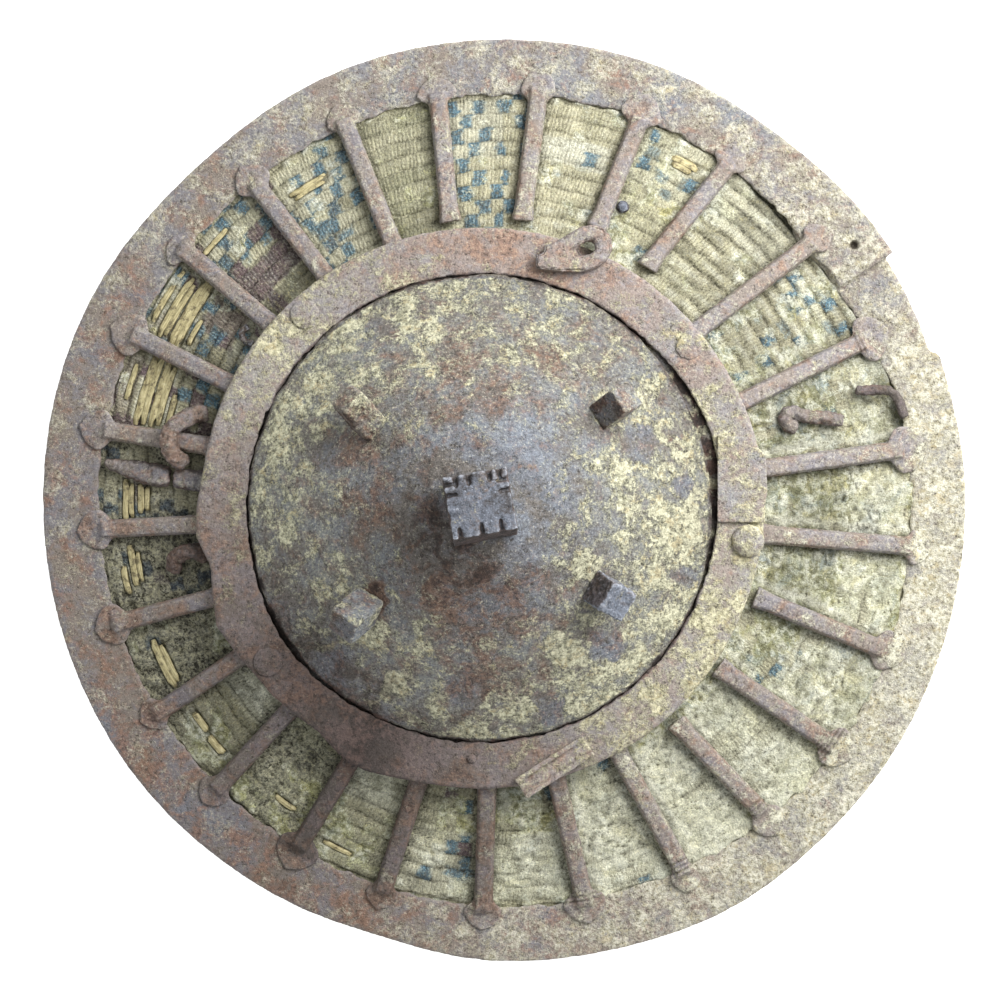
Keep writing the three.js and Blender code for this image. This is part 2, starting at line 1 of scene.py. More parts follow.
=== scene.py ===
# %% [markdown]
# # An old buckler of coiled cane and rusted iron
# The shield lies on its back, boss up, on a pale table. Its construction is already settled in the packed
# CAD model, so this notebook only dresses it: it makes the worn surface of every piece and gives each one a
# finish. The frame is loaded first, because every place below comes from it.

# %% Load the frame
import json
import math

import bpy
import numpy as np
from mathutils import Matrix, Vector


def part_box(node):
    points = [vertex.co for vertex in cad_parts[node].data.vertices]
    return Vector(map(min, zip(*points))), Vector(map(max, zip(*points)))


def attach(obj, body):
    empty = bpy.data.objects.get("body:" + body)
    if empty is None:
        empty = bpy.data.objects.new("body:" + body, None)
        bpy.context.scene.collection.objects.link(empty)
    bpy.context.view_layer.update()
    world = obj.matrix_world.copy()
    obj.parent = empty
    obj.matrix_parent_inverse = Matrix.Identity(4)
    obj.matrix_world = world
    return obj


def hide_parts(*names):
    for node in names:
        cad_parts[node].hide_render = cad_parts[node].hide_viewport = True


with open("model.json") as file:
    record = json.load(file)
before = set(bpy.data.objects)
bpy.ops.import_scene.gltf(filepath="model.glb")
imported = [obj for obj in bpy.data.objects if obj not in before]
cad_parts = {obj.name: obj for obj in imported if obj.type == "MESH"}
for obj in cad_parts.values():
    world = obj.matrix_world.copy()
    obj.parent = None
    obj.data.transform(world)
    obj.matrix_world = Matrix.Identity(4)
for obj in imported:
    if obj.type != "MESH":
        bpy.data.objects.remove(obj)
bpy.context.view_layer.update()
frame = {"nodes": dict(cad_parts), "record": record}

# %% [markdown]
# ## Measures that several pieces share
# The rim and the coils are centred on the origin. The boss and its ring sit a little to the left and below
# it. Both centres come from the boxes of the CAD nodes. Lengths are worked out in millimetres, as a maker
# thinks of them, and turned to metres only when they are written into a mesh.

# %% Shared measures
MM = 0.001


def middle_mm(node):
    """The middle of a CAD node's box, in millimetres."""
    low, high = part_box(node)
    return (low + high) / 2 / MM


boss_middle = middle_mm("boss")
BOSS_X, BOSS_Y = boss_middle.x, boss_middle.y
RIM_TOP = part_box("rim_hoop")[1].z / MM
RIM_INNER_RADIUS = 153.9
BOSS_FLANGE_WALL = 2.1
BOSS_FLANGE_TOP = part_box("boss")[0].z / MM + BOSS_FLANGE_WALL
print("boss centre, mm:", round(BOSS_X, 1), round(BOSS_Y, 1), "rim top:", round(RIM_TOP, 1))

# %% [markdown]
# ## Uneven surfaces from seeded lumps
# Hammered iron and old cane are never even. A lattice of random numbers, read with a smooth blend between
# its points, gives soft lumps of any chosen size. The seeds are fixed, so every run gives the same shield.
# Blender's own noise could do this too, but one call for each vertex is slow; numpy does a whole mesh at
# once.

# %% Soft lumps
LATTICE = 128


def lumps(x, y, size, seed):
    """Soft bumps between -1 and 1 at points x, y, about `size` apart."""
    lattice = np.random.default_rng(seed).uniform(-1, 1, (LATTICE, LATTICE))
    u, v = x / size + LATTICE / 2, y / size + LATTICE / 2
    i, j = np.floor(u).astype(int), np.floor(v).astype(int)
    fu, fv = u - i, v - j
    fu, fv = fu * fu * (3 - 2 * fu), fv * fv * (3 - 2 * fv)
    i, j = i % LATTICE, j % LATTICE
    i2, j2 = (i + 1) % LATTICE, (j + 1) % LATTICE
    low = lattice[i, j] * (1 - fu) + lattice[i2, j] * fu
    high = lattice[i, j2] * (1 - fu) + lattice[i2, j2] * fu
    return low * (1 - fv) + high * fv


def ramp(value, start, end):
    """0 before start, 1 after end, and smooth between them."""
    t = np.clip((value - start) / (end - start), 0, 1)
    return t * t * (3 - 2 * t)


print("lumps at three places:", np.round(lumps(np.array([0.0, 5, 9]), np.zeros(3), 4, 1), 2))

# %% [markdown]
# ## Reading and writing a mesh
# A primitive such as a torus or a sphere already has the right faces, closed and pointing outwards. Moving
# its vertices keeps both. The first two helpers read all the vertices into one array and write them back in
# metres. The others pick a piece out and give it its finish and its place in the frame.

# %% Mesh helpers


def read_points(piece):
    """All vertices of a piece as rows of x, y and z, in metres."""
    points = np.empty(len(piece.data.vertices) * 3)
    piece.data.vertices.foreach_get("co", points)
    return points.reshape(-1, 3)


def write_points_mm(piece, x, y, z):
    """Moves all vertices of a piece to new places, given in millimetres."""
    points = np.column_stack([x, y, z]) * MM
    piece.data.vertices.foreach_set("co", points.ravel())
    piece.data.update()


def select_only(piece):
    bpy.ops.object.select_all(action="DESELECT")
    piece.select_set(True)
    bpy.context.view_layer.objects.active = piece


def dress(piece, material, slot, *nodes):
    """Gives a finished piece its material, and puts it in the place of its CAD nodes."""
    piece.data.materials.clear()
    piece.data.materials.append(material)
    select_only(piece)
    bpy.ops.object.shade_smooth()
    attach(piece, "root")
    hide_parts(*nodes)


# %% [markdown]
# ## Colours
# Colours are chosen as the hex values that paint programs show. Blender mixes light in linear values, so one
# function turns the first into the second.

# %% Colour helper


def colour(hex_value):
    """An sRGB hex colour as linear red, green, blue and alpha."""
    channels = [int(hex_value[i : i + 2], 16) / 255 for i in (1, 3, 5)]
    linear = [c / 12.92 if c <= 0.04045 else ((c + 0.055) / 1.055) ** 2.4 for c in channels]
    return (*linear, 1)


print("rust brown in linear values:", [round(c, 3) for c in colour("#7a5a48")])

# %% [markdown]
# ## Node helper
# Every material below is a small network. One function adds a node, sets its properties and its sockets, and
# links whatever is already a socket. Numbers and colours that stay the same all over are set on the socket
# itself.

# %% Node helper


def add_node(tree, kind, settings=None, **inputs):
    """Adds one node. Inputs are named by socket, with _ for a space, or by index as i0, i1 and so on."""
    node = tree.nodes.new("ShaderNode" + kind)
    for key, value in (settings or {}).items():
        setattr(node, key, value)
    for key, value in inputs.items():
        is_index = key[0] == "i" and key[1:].isdigit()
        socket = node.inputs[int(key[1:])] if is_index else node.inputs[key.replace("_", " ")]
        if isinstance(value, bpy.types.NodeSocket):
            tree.links.new(value, socket)
        else:
            socket.default_value = value
    return node


def new_material(name):
    material = bpy.data.materials.new(name)
    material.use_nodes = True
    material.node_tree.nodes.clear()
    return material, material.node_tree


# %% [markdown]
# ## How a weathered finish is put together
# Weather works in the same few ways on everything. Noises from wide patches down to single grains are added
# up, each with its weight. The sum is cut into a mask, and a colour is laid over the last one through that
# mask. Every step is a small network, so each finish below can be read as a list of layers, from the bare
# skin outwards.

# %% Noises, sums, masks and layers


def make_noises(tree, place, rows):
    """One noise for each row of the table.

    A row is how far the noise is moved aside and the size of its lumps, both in mm, then its detail,
    roughness and distortion. Moving noises aside keeps them from repeating each other.
    """
    noises = []
    for aside, size, detail, roughness, distortion in rows:
        where = place
        if aside:
            where = add_node(tree, "VectorMath", i0=place, i1=(aside * MM,) * 3).outputs["Vector"]
        noise = add_node(
            tree, "TexNoise", Vector=where, Scale=1 / (size * MM), Detail=detail, Roughness=roughness,
            Distortion=distortion,
        )
        noises.append(noise.outputs["Fac"])
    return noises


def add_up(tree, *terms):
    """Adds up the terms. A term in brackets is a product, such as a noise and its weight."""
    total = None
    for term in terms:
        if isinstance(term, tuple):
            term = add_node(tree, "Math", {"operation": "MULTIPLY"}, i0=term[0], i1=term[1]).outputs[0]
        if total is not None:
            term = add_node(tree, "Math", {"operation": "ADD"}, i0=total, i1=term).outputs[0]
        total = term
    return total


def mask(tree, terms, start, end, low=0.0, high=1.0):
    """Adds up the terms and turns the sum into a mask: low before start, high after end."""
    node = add_node(
        tree, "MapRange", {"interpolation_type": "SMOOTHSTEP"}, Value=add_up(tree, *terms), From_Min=start,
        From_Max=end, To_Min=low, To_Max=high,
    )
    return node.outputs[0]


def lay_over(tree, base, *layers):
    """Lays colours over the base, each through its mask. A third value in a layer is the way it blends."""
    base = colour(base) if isinstance(base, str) else base
    for amount, tint, *way in layers:
        tint = colour(tint) if isinstance(tint, str) else tint
        blending = {"data_type": "RGBA", "blend_type": way[0] if way else "MIX"}
        base = add_node(tree, "Mix", blending, i0=amount, i6=base, i7=tint).outputs[2]
    return base


def read_masks(tree, name):
    """The three masks that are kept on the mesh under one name."""
    attribute = add_node(tree, "Attribute", {"attribute_name": name})
    return add_node(tree, "SeparateColor", Color=attribute.outputs["Color"]).outputs


def finish_material(tree, base, relief, strength, depth, roughness, gloss):
    """Adds the bump, with its depth in mm, the shader and the output."""
    bump = add_node(tree, "Bump", Strength=strength, Distance=depth * MM, Height=relief).outputs[0]
    shader = add_node(
        tree, "BsdfPrincipled", Base_Color=base, Normal=bump, Roughness=roughness, Specular_IOR_Level=gloss
    )
    add_node(tree, "OutputMaterial", Surface=shader.outputs[0])


# %% [markdown]
# ## Old forged iron: how it aged
# The iron is hand-forged and has lain in damp earth, and it didn't age evenly. A cream mineral crust grew on
# the right and the lower right, the top of the ring shows fresh orange rust, and the lower left is bare. The
# lower left, away from the window, and the gaps at the boss's foot are painted darker as well: that is
# painted shade. The blue-grey sheen is painted too, strongest near the boss's point on its side towards the
# light.
# A short table for each kind of piece says how much of each change there is at every hour of a clock, and
# the values between are blended. The boss has such a table at five distances from its axis. The masks are
# written onto the mesh, so that one kind of finish can serve every piece.

# %% Ageing tables
CLOCK = np.arange(0, 361, 30)


def by_clock(angle, levels):
    """Reads a table of twelve levels, one for every 30 degrees, from the top and clockwise."""
    return np.interp(angle, CLOCK, [*levels, levels[0]])


# the tables of darkness are painted shade, highest on the lower left, away from the window
RIM_CRUST = [0.33, 0.40, 0.49, 0.76, 0.70, 0.60, 0.42, 0.12, 0.18, 0.20, 0.26, 0.34]
RIM_RUST = [0.32, 0.36, 0.38, 0.30, 0.30, 0.42, 0.54, 0.62, 0.54, 0.48, 0.40, 0.34]
RIM_PAINTED_SHADE = [0.00, 0.00, 0.08, 0.00, 0.00, 0.00, 0.12, 0.44, 0.19, 0.18, 0.14, 0.02]
RING_CRUST = [0.16, 0.26, 0.38, 0.58, 0.60, 0.52, 0.22, 0.03, 0.08, 0.30, 0.54, 0.34]
RING_RUST = [0.80, 0.48, 0.42, 0.26, 0.30, 0.40, 0.50, 0.40, 0.65, 0.50, 0.25, 0.45]
RING_PAINTED_SHADE = [0.00, 0.00, 0.02, 0.00, 0.05, 0.14, 0.58, 1.10, 0.74, 0.40, 0.05, 0.12]
BAR_CRUST = [0.33, 0.26, 0.25, 0.33, 0.27, 0.40, 0.26, 0.10, 0.12, 0.22, 0.22, 0.30]
BAR_PAINTED_SHADE = [0.00, 0.00, 0.00, 0.00, 0.10, 0.00, 0.44, 0.86, 0.30, 0.02, 0.04, 0.00]
BAR_RUST = [0.55, 0.50, 0.45, 0.45, 0.50, 0.60, 0.65, 0.55, 0.50, 0.50, 0.45, 0.50]
print("levels for each kind of change on the rim:", len(RIM_CRUST))

# %% Ageing tables of the boss
# one table for each of these distances from the boss's axis, in mm
BOSS_RINGS = [0, 20, 38, 57, 78]
BOSS_CRUST = [
    [0.10] * 12,
    [0.12, 0.12, 0.15, 0.15, 0.12, 0.05, 0.05, 0.08, 0.08, 0.10, 0.12, 0.12],
    [0.24, 0.22, 0.28, 0.42, 0.34, 0.20, 0.05, 0.20, 0.22, 0.14, 0.26, 0.30],
    [0.42, 0.42, 0.48, 0.66, 0.50, 0.48, 0.28, 0.54, 0.48, 0.40, 0.42, 0.46],
    [0.52, 0.44, 0.44, 0.62, 0.66, 0.66, 0.58, 0.38, 0.30, 0.54, 0.64, 0.64],
]
BOSS_RUST = [
    [0.10] * 12,
    [0.35, 0.10, 0.10, 0.10, 0.25, 0.45, 0.70, 0.55, 0.45, 0.40, 0.30, 0.35],
    [0.66, 0.45, 0.10, 0.15, 0.20, 0.55, 0.85, 0.60, 0.40, 0.50, 0.40, 0.60],
    [0.55, 0.65, 0.35, 0.15, 0.25, 0.50, 0.75, 0.45, 0.35, 0.45, 0.50, 0.55],
    [0.35, 0.45, 0.35, 0.20, 0.25, 0.35, 0.40, 0.30, 0.30, 0.35, 0.45, 0.40],
]
# the sheen is a painted blue-grey reflection near the point, on the side towards the light, over smooth iron
BOSS_SHEEN = [
    [0.80] * 12,
    [0.70, 0.90, 0.90, 0.85, 0.70, 0.30, 0.10, 0.10, 0.15, 0.25, 0.40, 0.60],
    [0.60, 0.60, 0.70, 0.60, 0.60, 0.45, 0.10, 0.20, 0.25, 0.25, 0.25, 0.40],
    [0.15, 0.20, 0.35, 0.25, 0.30, 0.30, 0.15, 0.20, 0.15, 0.30, 0.35, 0.25],
    [0.10, 0.15, 0.25, 0.20, 0.20, 0.25, 0.25, 0.25, 0.20, 0.35, 0.35, 0.20],
]
# the darkness is painted shade: at the central stud's base, on its lower left, and low on the lower left
BOSS_PAINTED_SHADE = [
    [0.30] * 12,
    [0.38, 0.32, 0.28, 0.28, 0.27, 0.42, 0.68, 0.70, 0.60, 0.58, 0.26, 0.22],
    [0.02, 0.12, 0.16, 0.14, 0.15, 0.18, 0.38, 0.08, 0.04, 0.14, 0.24, 0.16],
    [0.10, 0.04, 0.06, 0.14, 0.18, 0.14, 0.20, 0.00, 0.00, 0.02, 0.02, 0.04],
    [0.12, 0.18, 0.20, 0.18, 0.10, 0.08, 0.16, 0.55, 0.36, 0.00, 0.00, 0.04],
]
print("boss tables at, mm:", BOSS_RINGS)

# %% Marked places on the boss
# for each kind of place: angle and radius around the boss's axis, size in mm, strength
BOSS_PLACES = {
    "crust": [
        (56, 68, 7, 0.8), (73, 50, 8, 0.7), (96, 72, 13, 0.9), (118, 44, 6, 0.8), (148, 63, 8, 1.0),
        (205, 74, 7, 0.8), (223, 62, 7, 0.9), (226, 68, 5, 0.8), (300, 68, 6, 0.5), (345, 66, 6, 0.7),
    ],
    "bare": [
        (68, 62, 7, 0.8), (84, 76, 5, 0.8), (108, 80, 5, 0.7), (138, 69, 8, 0.9), (160, 78, 7, 0.8),
        (185, 66, 8, 0.8), (222, 79, 9, 0.8), (290, 60, 8, 0.6), (330, 74, 8, 0.5),
    ],
    "rust": [
        (26, 66, 8, 0.7), (200, 38, 12, 0.9), (272, 46, 7, 0.8), (352, 52, 12, 0.8),
    ],
    "pit": [
        (230, 51, 6.5, 1.0),
    ],
}


def boss_places(kind, angle, radius):
    """How strongly the marked places of one kind cover each point of the boss."""
    x, y = radius * np.sin(np.radians(angle)), radius * np.cos(np.radians(angle))
    total = np.zeros_like(radius)
    for a, r, size, strength in BOSS_PLACES[kind]:
        away = np.hypot(x - r * math.sin(math.radians(a)), y - r * math.cos(math.radians(a)))
        away = away + 0.35 * size * lumps(x, y, 5, 54) + 0.2 * size * lumps(x, y, 2, 55)
        total = np.maximum(total, strength * (1 - ramp(away, 0.6 * size, 1.1 * size)))
    return total


print("marked places on the boss:", sum(len(rows) for rows in BOSS_PLACES.values()))


# %% Reading the ageing tables
# distances in mm between which one thing gives way to the next
BOSS_FOOT = (85.6, 86.6)
BOSS_FOOT_AT_GAP = (84.2, 85.2)
RING_INNER_EDGE = (87.1, 88.0)
SPADES = (154, 158)


def by_ring(angle, radius, tables):
    """Blends the tables of the boss between their radii."""
    levels = np.array([by_clock(angle, table) for table in tables])
    place = np.interp(radius, BOSS_RINGS, np.arange(len(BOSS_RINGS)))
    inner = np.minimum(place.astype(int), len(BOSS_RINGS) - 2)
    share = place - inner
    point = np.arange(len(angle))
    return levels[inner, point] * (1 - share) + levels[inner + 1, point] * share


def clock_angle(x, y):
    """The heading of each point from the middle, in degrees clockwise from the top."""
    return (90 - np.degrees(np.arctan2(y, x))) % 360


def open_side(angle):
    """1 on the boss's right, where a gap is left between its foot and the ring, and 0 elsewhere."""
    return np.exp(-(((angle - 72) / 30) ** 2))


def iron_ageing(kind, x, y):
    """Crust, orange rust, painted blue-grey sheen and painted shade of one kind of iron piece at each point.
    """
    angle, radius = clock_angle(x, y), np.hypot(x, y)
    if kind == "boss":
        angle, radius = clock_angle(x - BOSS_X, y - BOSS_Y), np.hypot(x - BOSS_X, y - BOSS_Y)
        foot = ramp(radius + 0.5 * lumps(x, y, 3, 51), *BOSS_FOOT)
        in_gap = open_side(angle)
        foot = np.maximum(foot, in_gap * ramp(radius, *BOSS_FOOT_AT_GAP))
        tables = (BOSS_CRUST, BOSS_RUST, BOSS_SHEEN, BOSS_PAINTED_SHADE)
        crust, rust, sheen, dark = (by_ring(angle, radius, table) for table in tables)
        pit, bare = boss_places("pit", angle, radius), boss_places("bare", angle, radius)
        crust = np.maximum(crust, boss_places("crust", angle, radius)) * (1 - bare) * (1 - pit)
        crust = crust * (1 - foot) + foot * in_gap * (0.5 + 0.9 * lumps(x, y, 3.5, 57))
        rust = np.maximum.reduce([rust, boss_places("rust", angle, radius), 1.6 * pit]) * (1 - foot)
        sheen = np.maximum(sheen, 0.5 * bare) * (1 - pit)
        # the foot, down in the gap under the ring's edge, is painted dark as shade; the rust pit is a real
        # dark spot
        return crust, rust, sheen, np.maximum.reduce([dark, 0.55 * pit, foot])
    if kind == "ring":
        from_axis = np.hypot(x - BOSS_X, y - BOSS_Y) + 0.5 * lumps(x, y, 3, 52)
        inner_edge = 1 - ramp(from_axis, *RING_INNER_EDGE)
        crust = by_clock(angle, RING_CRUST) * (1 - inner_edge)
        # the ring's inner edge, beside the gap around the boss, is painted dark as shade
        dark = np.maximum(by_clock(angle, RING_PAINTED_SHADE), inner_edge)
        return crust, by_clock(angle, RING_RUST), 0 * x + 0.15, dark
    rim = by_clock(angle, RIM_CRUST), by_clock(angle, RIM_RUST), 0 * x + 0.2, by_clock(angle, RIM_PAINTED_SHADE)
    if kind == "rim":
        return rim[0], rim[1], 0.35 + 0.35 * lumps(x, y, 30, 53), rim[3]
    shaft = by_clock(angle, BAR_CRUST), by_clock(angle, BAR_RUST), 0 * x + 0.1, by_clock(angle, BAR_PAINTED_SHADE)
    on_rim = ramp(radius, *SPADES) * 0.9
    crust, rust, sheen, dark = (a * (1 - on_rim) + b * on_rim for a, b in zip(shaft, rim))
    orange_ends = 0.6 * np.exp(-(((angle - 256) / 26) ** 2)) * on_rim
    return crust * (1 - orange_ends), rust + orange_ends, sheen, dark


print("crust at the top of the rim:", by_clock(np.zeros(1), RIM_CRUST))


# %% [markdown]
# ## Worn edges and shaded hollows
# Handling polishes the edges, and the hollows get painted shade. Each vertex is compared with its
# neighbours:
# where they lie below the surface the point is on an edge, and where they rise above it the point is in a
# hollow.

# %% Wear and painted shade from the shape


def write_colours(piece, name, red, green, blue):
    """Keeps three masks on the vertices as one colour attribute."""
    attribute = piece.data.color_attributes.new(name, "FLOAT_COLOR", "POINT")
    values = np.column_stack([red, green, blue, np.ones(len(red))])
    attribute.data.foreach_set("color", values.astype(np.float32).ravel())


def find_rise(mesh, points, normals):
    """How far a vertex's neighbours rise above its surface: below 0 on an edge, above 0 in a hollow."""
    count = len(points)
    edges = np.empty(len(mesh.edges) * 2, dtype=int)
    mesh.edges.foreach_get("vertices", edges)
    first, second = edges.reshape(-1, 2).T
    along = points[second] - points[first]
    along /= np.linalg.norm(along, axis=1)[:, None] + 1e-9
    rise = np.bincount(first, (normals[first] * along).sum(1), count)
    rise -= np.bincount(second, (normals[second] * along).sum(1), count)
    valence = np.maximum(np.bincount(first, minlength=count) + np.bincount(second, minlength=count), 1)
    rise /= valence
    for _ in range(2):
        spread = np.bincount(first, rise[second], count) + np.bincount(second, rise[first], count)
        rise = 0.5 * rise + 0.5 * spread / valence
    return rise


def paint_iron(piece, kind, crust=None, rust=None, sheen=None, dark=None, painted_shade_side=None, dirt_and_shade=0):
    """Writes the ageing of a piece onto its vertices. A level given here replaces the table's.

    The dark side is a clock heading, or "steep" for every steep face, and how much painted shade the faces
    that look that way get. The last level, for the whole piece or for each point, is painted shade in its
    hollow parts.
    """
    points = read_points(piece) / MM
    count = len(points)
    normals = np.empty(count * 3)
    piece.data.vertices.foreach_get("normal", normals)
    normals = normals.reshape(-1, 3)
    rise = find_rise(piece.data, points, normals)
    levels = list(iron_ageing(kind, points[:, 0], points[:, 1]))
    for i, level in enumerate((crust, rust, sheen, dark)):
        if level is not None:
            levels[i] = np.full(count, float(level))
    # faces that look one way, or steep faces, get painted shade and lose their crust and sheen
    if painted_shade_side:
        heading, strength = painted_shade_side
        if heading == "steep":
            facing = 1 - ramp(normals[:, 2], 0.3, 0.75)
        else:
            turn = math.radians(heading)
            facing = ramp(normals[:, 0] * math.sin(turn) + normals[:, 1] * math.cos(turn), 0.25, 0.6)
        levels[3] = np.maximum(levels[3], strength * facing)
        levels[0], levels[2] = levels[0] * (1 - facing), levels[2] * (1 - facing)
    write_colours(piece, "growth", levels[0], levels[1], levels[2])
    # worn edges, then painted shade in the hollows, then the dark level, which is mostly painted shade
    write_colours(piece, "wear_and_shade", ramp(-rise, 0.05, 0.2), np.maximum(ramp(rise, 0.04, 0.16), dirt_and_shade), levels[3])


# %% [markdown]
# ## Old forged iron: the finish
# What the eye sees isn't metal any more but its skin: a matte violet-brown rust, orange where it is fresh,
# blue-grey where it was handled smooth, under a painted sheen, and a cream-yellow mineral crust on top.
# Painted shade darkens the hollows and the side away from the light. Each is a colour laid over the last
# through a mask of noises, and the masks on the mesh move it to where the piece aged in that way, or to
# where the shade and sheen are painted.
# Rust doesn't conduct, so the surface isn't metallic, and it is very rough.

# %% Iron material
CRUST_START = 0.657


def make_iron(name, colours, worn="#a39a97", speck_and_glint="#bfb59d", grit=0.3, patchy=0.0, crust_edge=0.05):
    """Rusted iron, matt and patchy.

    The colours are two of the skin, two of rust, then sheen, dust, and two of crust; the sheen is painted.
    grit is how much single grains differ, patchy breaks up the dark level, which is mostly painted shade,
    and crust_edge softens the edge of the crust. The speck colour is laid in fine specks; on the studs they
    are painted glints.
    """
    skin, skin_2, rust, rust_2, sheen, dust, crust, crust_2 = colours.split()
    material, tree = new_material(name)
    place = add_node(tree, "TexCoord").outputs["Object"]
    # the third growth mask places the painted sheen
    grown_crust, fresh_rust, smooth = read_masks(tree, "growth")
    edges, hollow_shade, darkness = read_masks(tree, "wear_and_shade")
    wide, patch, patch_2, blot, grain, grain_2, fine = make_noises(tree, place, [
        (0, 15, 5, 0.62, 0.3), (0, 8, 6, 0.62, 0.5), (311, 9, 6, 0.7, 0.5), (83, 4.5, 5, 0.7, 0.6),
        (0, 1.9, 5, 0.72, 0), (173, 1.2, 4, 0.72, 0), (0, 0.6, 2, 0.7, 0),
    ])

    tone = add_up(tree, (wide, 0.6), (grain, 0.4))
    sheen_terms = [(wide, 0.4), (patch_2, 0.4), (grain_2, 0.2), (smooth, 0.2)]
    rust_terms = [(patch_2, 0.72), (grain, 0.2), (grain_2, 0.08), (fresh_rust, 0.2)]
    dust_terms = [(patch, 0.4), (wide, 0.2), (grain_2, 0.4), (grown_crust, 0.3)]
    crust_terms = [(patch, 0.62), (grain_2, 0.26), (fine, 0.12), (grown_crust, 0.27), (hollow_shade, 0.05)]
    rusty = lay_over(tree, rust, (mask(tree, [grain], 0.42, 0.6), rust_2))
    crusty = lay_over(
        tree, crust,
        (mask(tree, [(grain, 0.7), (patch_2, 0.3)], 0.42, 0.58), crust_2),
        (mask(tree, [(blot, 0.75), (grain_2, 0.25)], 0.51, 0.61, 0.0, 0.6), "#a6946a"),
    )
    crust_mask = mask(tree, crust_terms, CRUST_START - crust_edge, CRUST_START + crust_edge)
    # dark level: a near-black brown laid as painted shade, and as the real dark of a few small pieces
    dark_and_shade_tone = lay_over(tree, "#2b2421", (mask(tree, [tone], 0.45, 0.56), "#4d3c35"))
    dark_and_shade_patches = mask(tree, [patch_2], 0.42, 0.58, 0.85 - patchy, 0.85 + patchy)
    dark_and_shade_layer = add_node(tree, "Math", {"operation": "MULTIPLY", "use_clamp": True}, i0=darkness, i1=dark_and_shade_patches)
    shade = mask(tree, [(grain, 0.3), (grain_2, 0.35), (fine, 0.35)], 0.36, 0.64, 1 - grit, 1.02 + grit)
    base = lay_over(
        tree, skin,
        (mask(tree, [tone], 0.44, 0.56), skin_2),
        # painted sheen: blue-grey over the skin
        (mask(tree, sheen_terms, 0.56, 0.70, 0.0, 0.85), sheen),
        (mask(tree, rust_terms, 0.56, 0.70, 0.0, 0.8), rusty),
        (add_up(tree, (edges, 0.5)), worn),
        (mask(tree, dust_terms, 0.54, 0.74, 0.0, 0.8), dust),
        (mask(tree, [(grain_2, 0.6), (fine, 0.4)], 0.57, 0.64, 0.0, 0.5), speck_and_glint),
        (add_up(tree, (crust_mask, 0.88)), crusty),
        # the dark level, mostly painted shade
        (dark_and_shade_layer.outputs[0], dark_and_shade_tone),
        (mask(tree, [(grain, 0.6), (fine, 0.4)], 0.45, 0.37, 0.0, 0.7), "#352d27"),
        # painted shade in the hollows
        (add_up(tree, (hollow_shade, 0.45)), "#3d352d"),
        (1.0, shade, "MULTIPLY"),
    )
    relief = add_up(tree, (grain, 0.8), (fine, 0.45), (crust_mask, 0.4))
    finish_material(tree, base, relief, 0.9, 0.9, mask(tree, [patch], 0.3, 0.7, 0.65, 0.95), 0.3)
    return material


rim_iron = make_iron(
    "forged_iron_rim", "#877c72 #7b787b #7b5d4c #93705a #747b85 #b0ab9c #a59e84 #d3cebb",
    grit=0.22, crust_edge=0.1,
)
ring_iron = make_iron(
    "forged_iron_ring", "#968880 #8b8586 #816658 #a0806a #7c828b #a9a597 #a09a79 #d3ccaa",
    grit=0.28, crust_edge=0.065,
)
bar_iron = make_iron(
    "forged_iron_bars", "#8c8178 #807b7e #775c4d #947762 #8b8f98 #b3ad9e #aca791 #d3cfb9", grit=0.26
)
boss_iron = make_iron(
    "raised_iron_boss", "#6c6660 #6a6c70 #60493f #80624e #7c838d #959485 #96937a #cbc7a9",
    worn="#b0a68e", grit=0.42, patchy=0.5,
)
# the studs' pale blue-grey edges and specks are painted glints, over edges that are also worn
stud_iron = make_iron(
    "forged_iron_studs", "#4f4c4c #56565b #57493f #6b5a4c #707681 #6f6c69 #8f876c #b5ac88",
    worn="#bfc2ca", speck_and_glint="#a5a9b3",
)
print("iron finishes:", [m.name for m in (rim_iron, ring_iron, bar_iron, boss_iron, stud_iron)])

# %% [markdown]
# ## Forged pieces from their own solids
# Each bar, rivet and fragment already has its true outline in the CAD model, with flat facets. A smith's
# piece has soft corners and a dented skin. One way would be to model each again by hand; a better one is to
# let Blender recast a merged copy of the solid in small even cells (Remesh), melt the corners a little
# (Smooth), and dent the skin with two procedural textures (Displace), one for hammer marks and one for rust
# pits. Each step is a function of its own, because the pieces need different amounts of each.

# %% Weathering textures


def cloud_texture(name, size, depth):
    texture = bpy.data.textures.new(name, "CLOUDS")
    texture.noise_scale = size * MM
    texture.noise_depth = depth
    return texture


hammer_marks = cloud_texture("hammer_marks", 7, 1)
rust_pits = cloud_texture("rust_pits", 1.8, 3)
print("textures:", hammer_marks.name, rust_pits.name)

# %% Weathering steps


def apply_modifier(piece, kind, **settings):
    modifier = piece.modifiers.new("step", kind)
    for key, value in settings.items():
        setattr(modifier, key, value)
    bpy.ops.object.modifier_apply(modifier="step")


def recast(node, cell):
    """A merged copy of a CAD node, made again in even cells of `cell` mm."""
    piece = bpy.data.objects.new(node + "_forged", frame["nodes"][node].data.copy())
    bpy.context.scene.collection.objects.link(piece)
    select_only(piece)
    bpy.ops.object.mode_set(mode="EDIT")
    bpy.ops.mesh.select_all(action="SELECT")
    bpy.ops.mesh.remove_doubles(threshold=0.001 * MM)
    bpy.ops.object.mode_set(mode="OBJECT")
    apply_modifier(piece, "REMESH", mode="VOXEL", voxel_size=cell * MM)
    return piece


def melt(piece, times, beyond=None):
    """Rounds the corners. With `beyond`, only farther than that radius from the middle, in mm."""
    if beyond is None:
        apply_modifier(piece, "SMOOTH", factor=0.5, iterations=times)
        return
    x, y, _ = (read_points(piece) / MM).T
    group = piece.vertex_groups.new(name="far")
    group.add([int(i) for i in np.flatnonzero(np.hypot(x, y) > beyond)], 1.0, "REPLACE")
    apply_modifier(piece, "SMOOTH", factor=0.5, iterations=times, vertex_group="far")


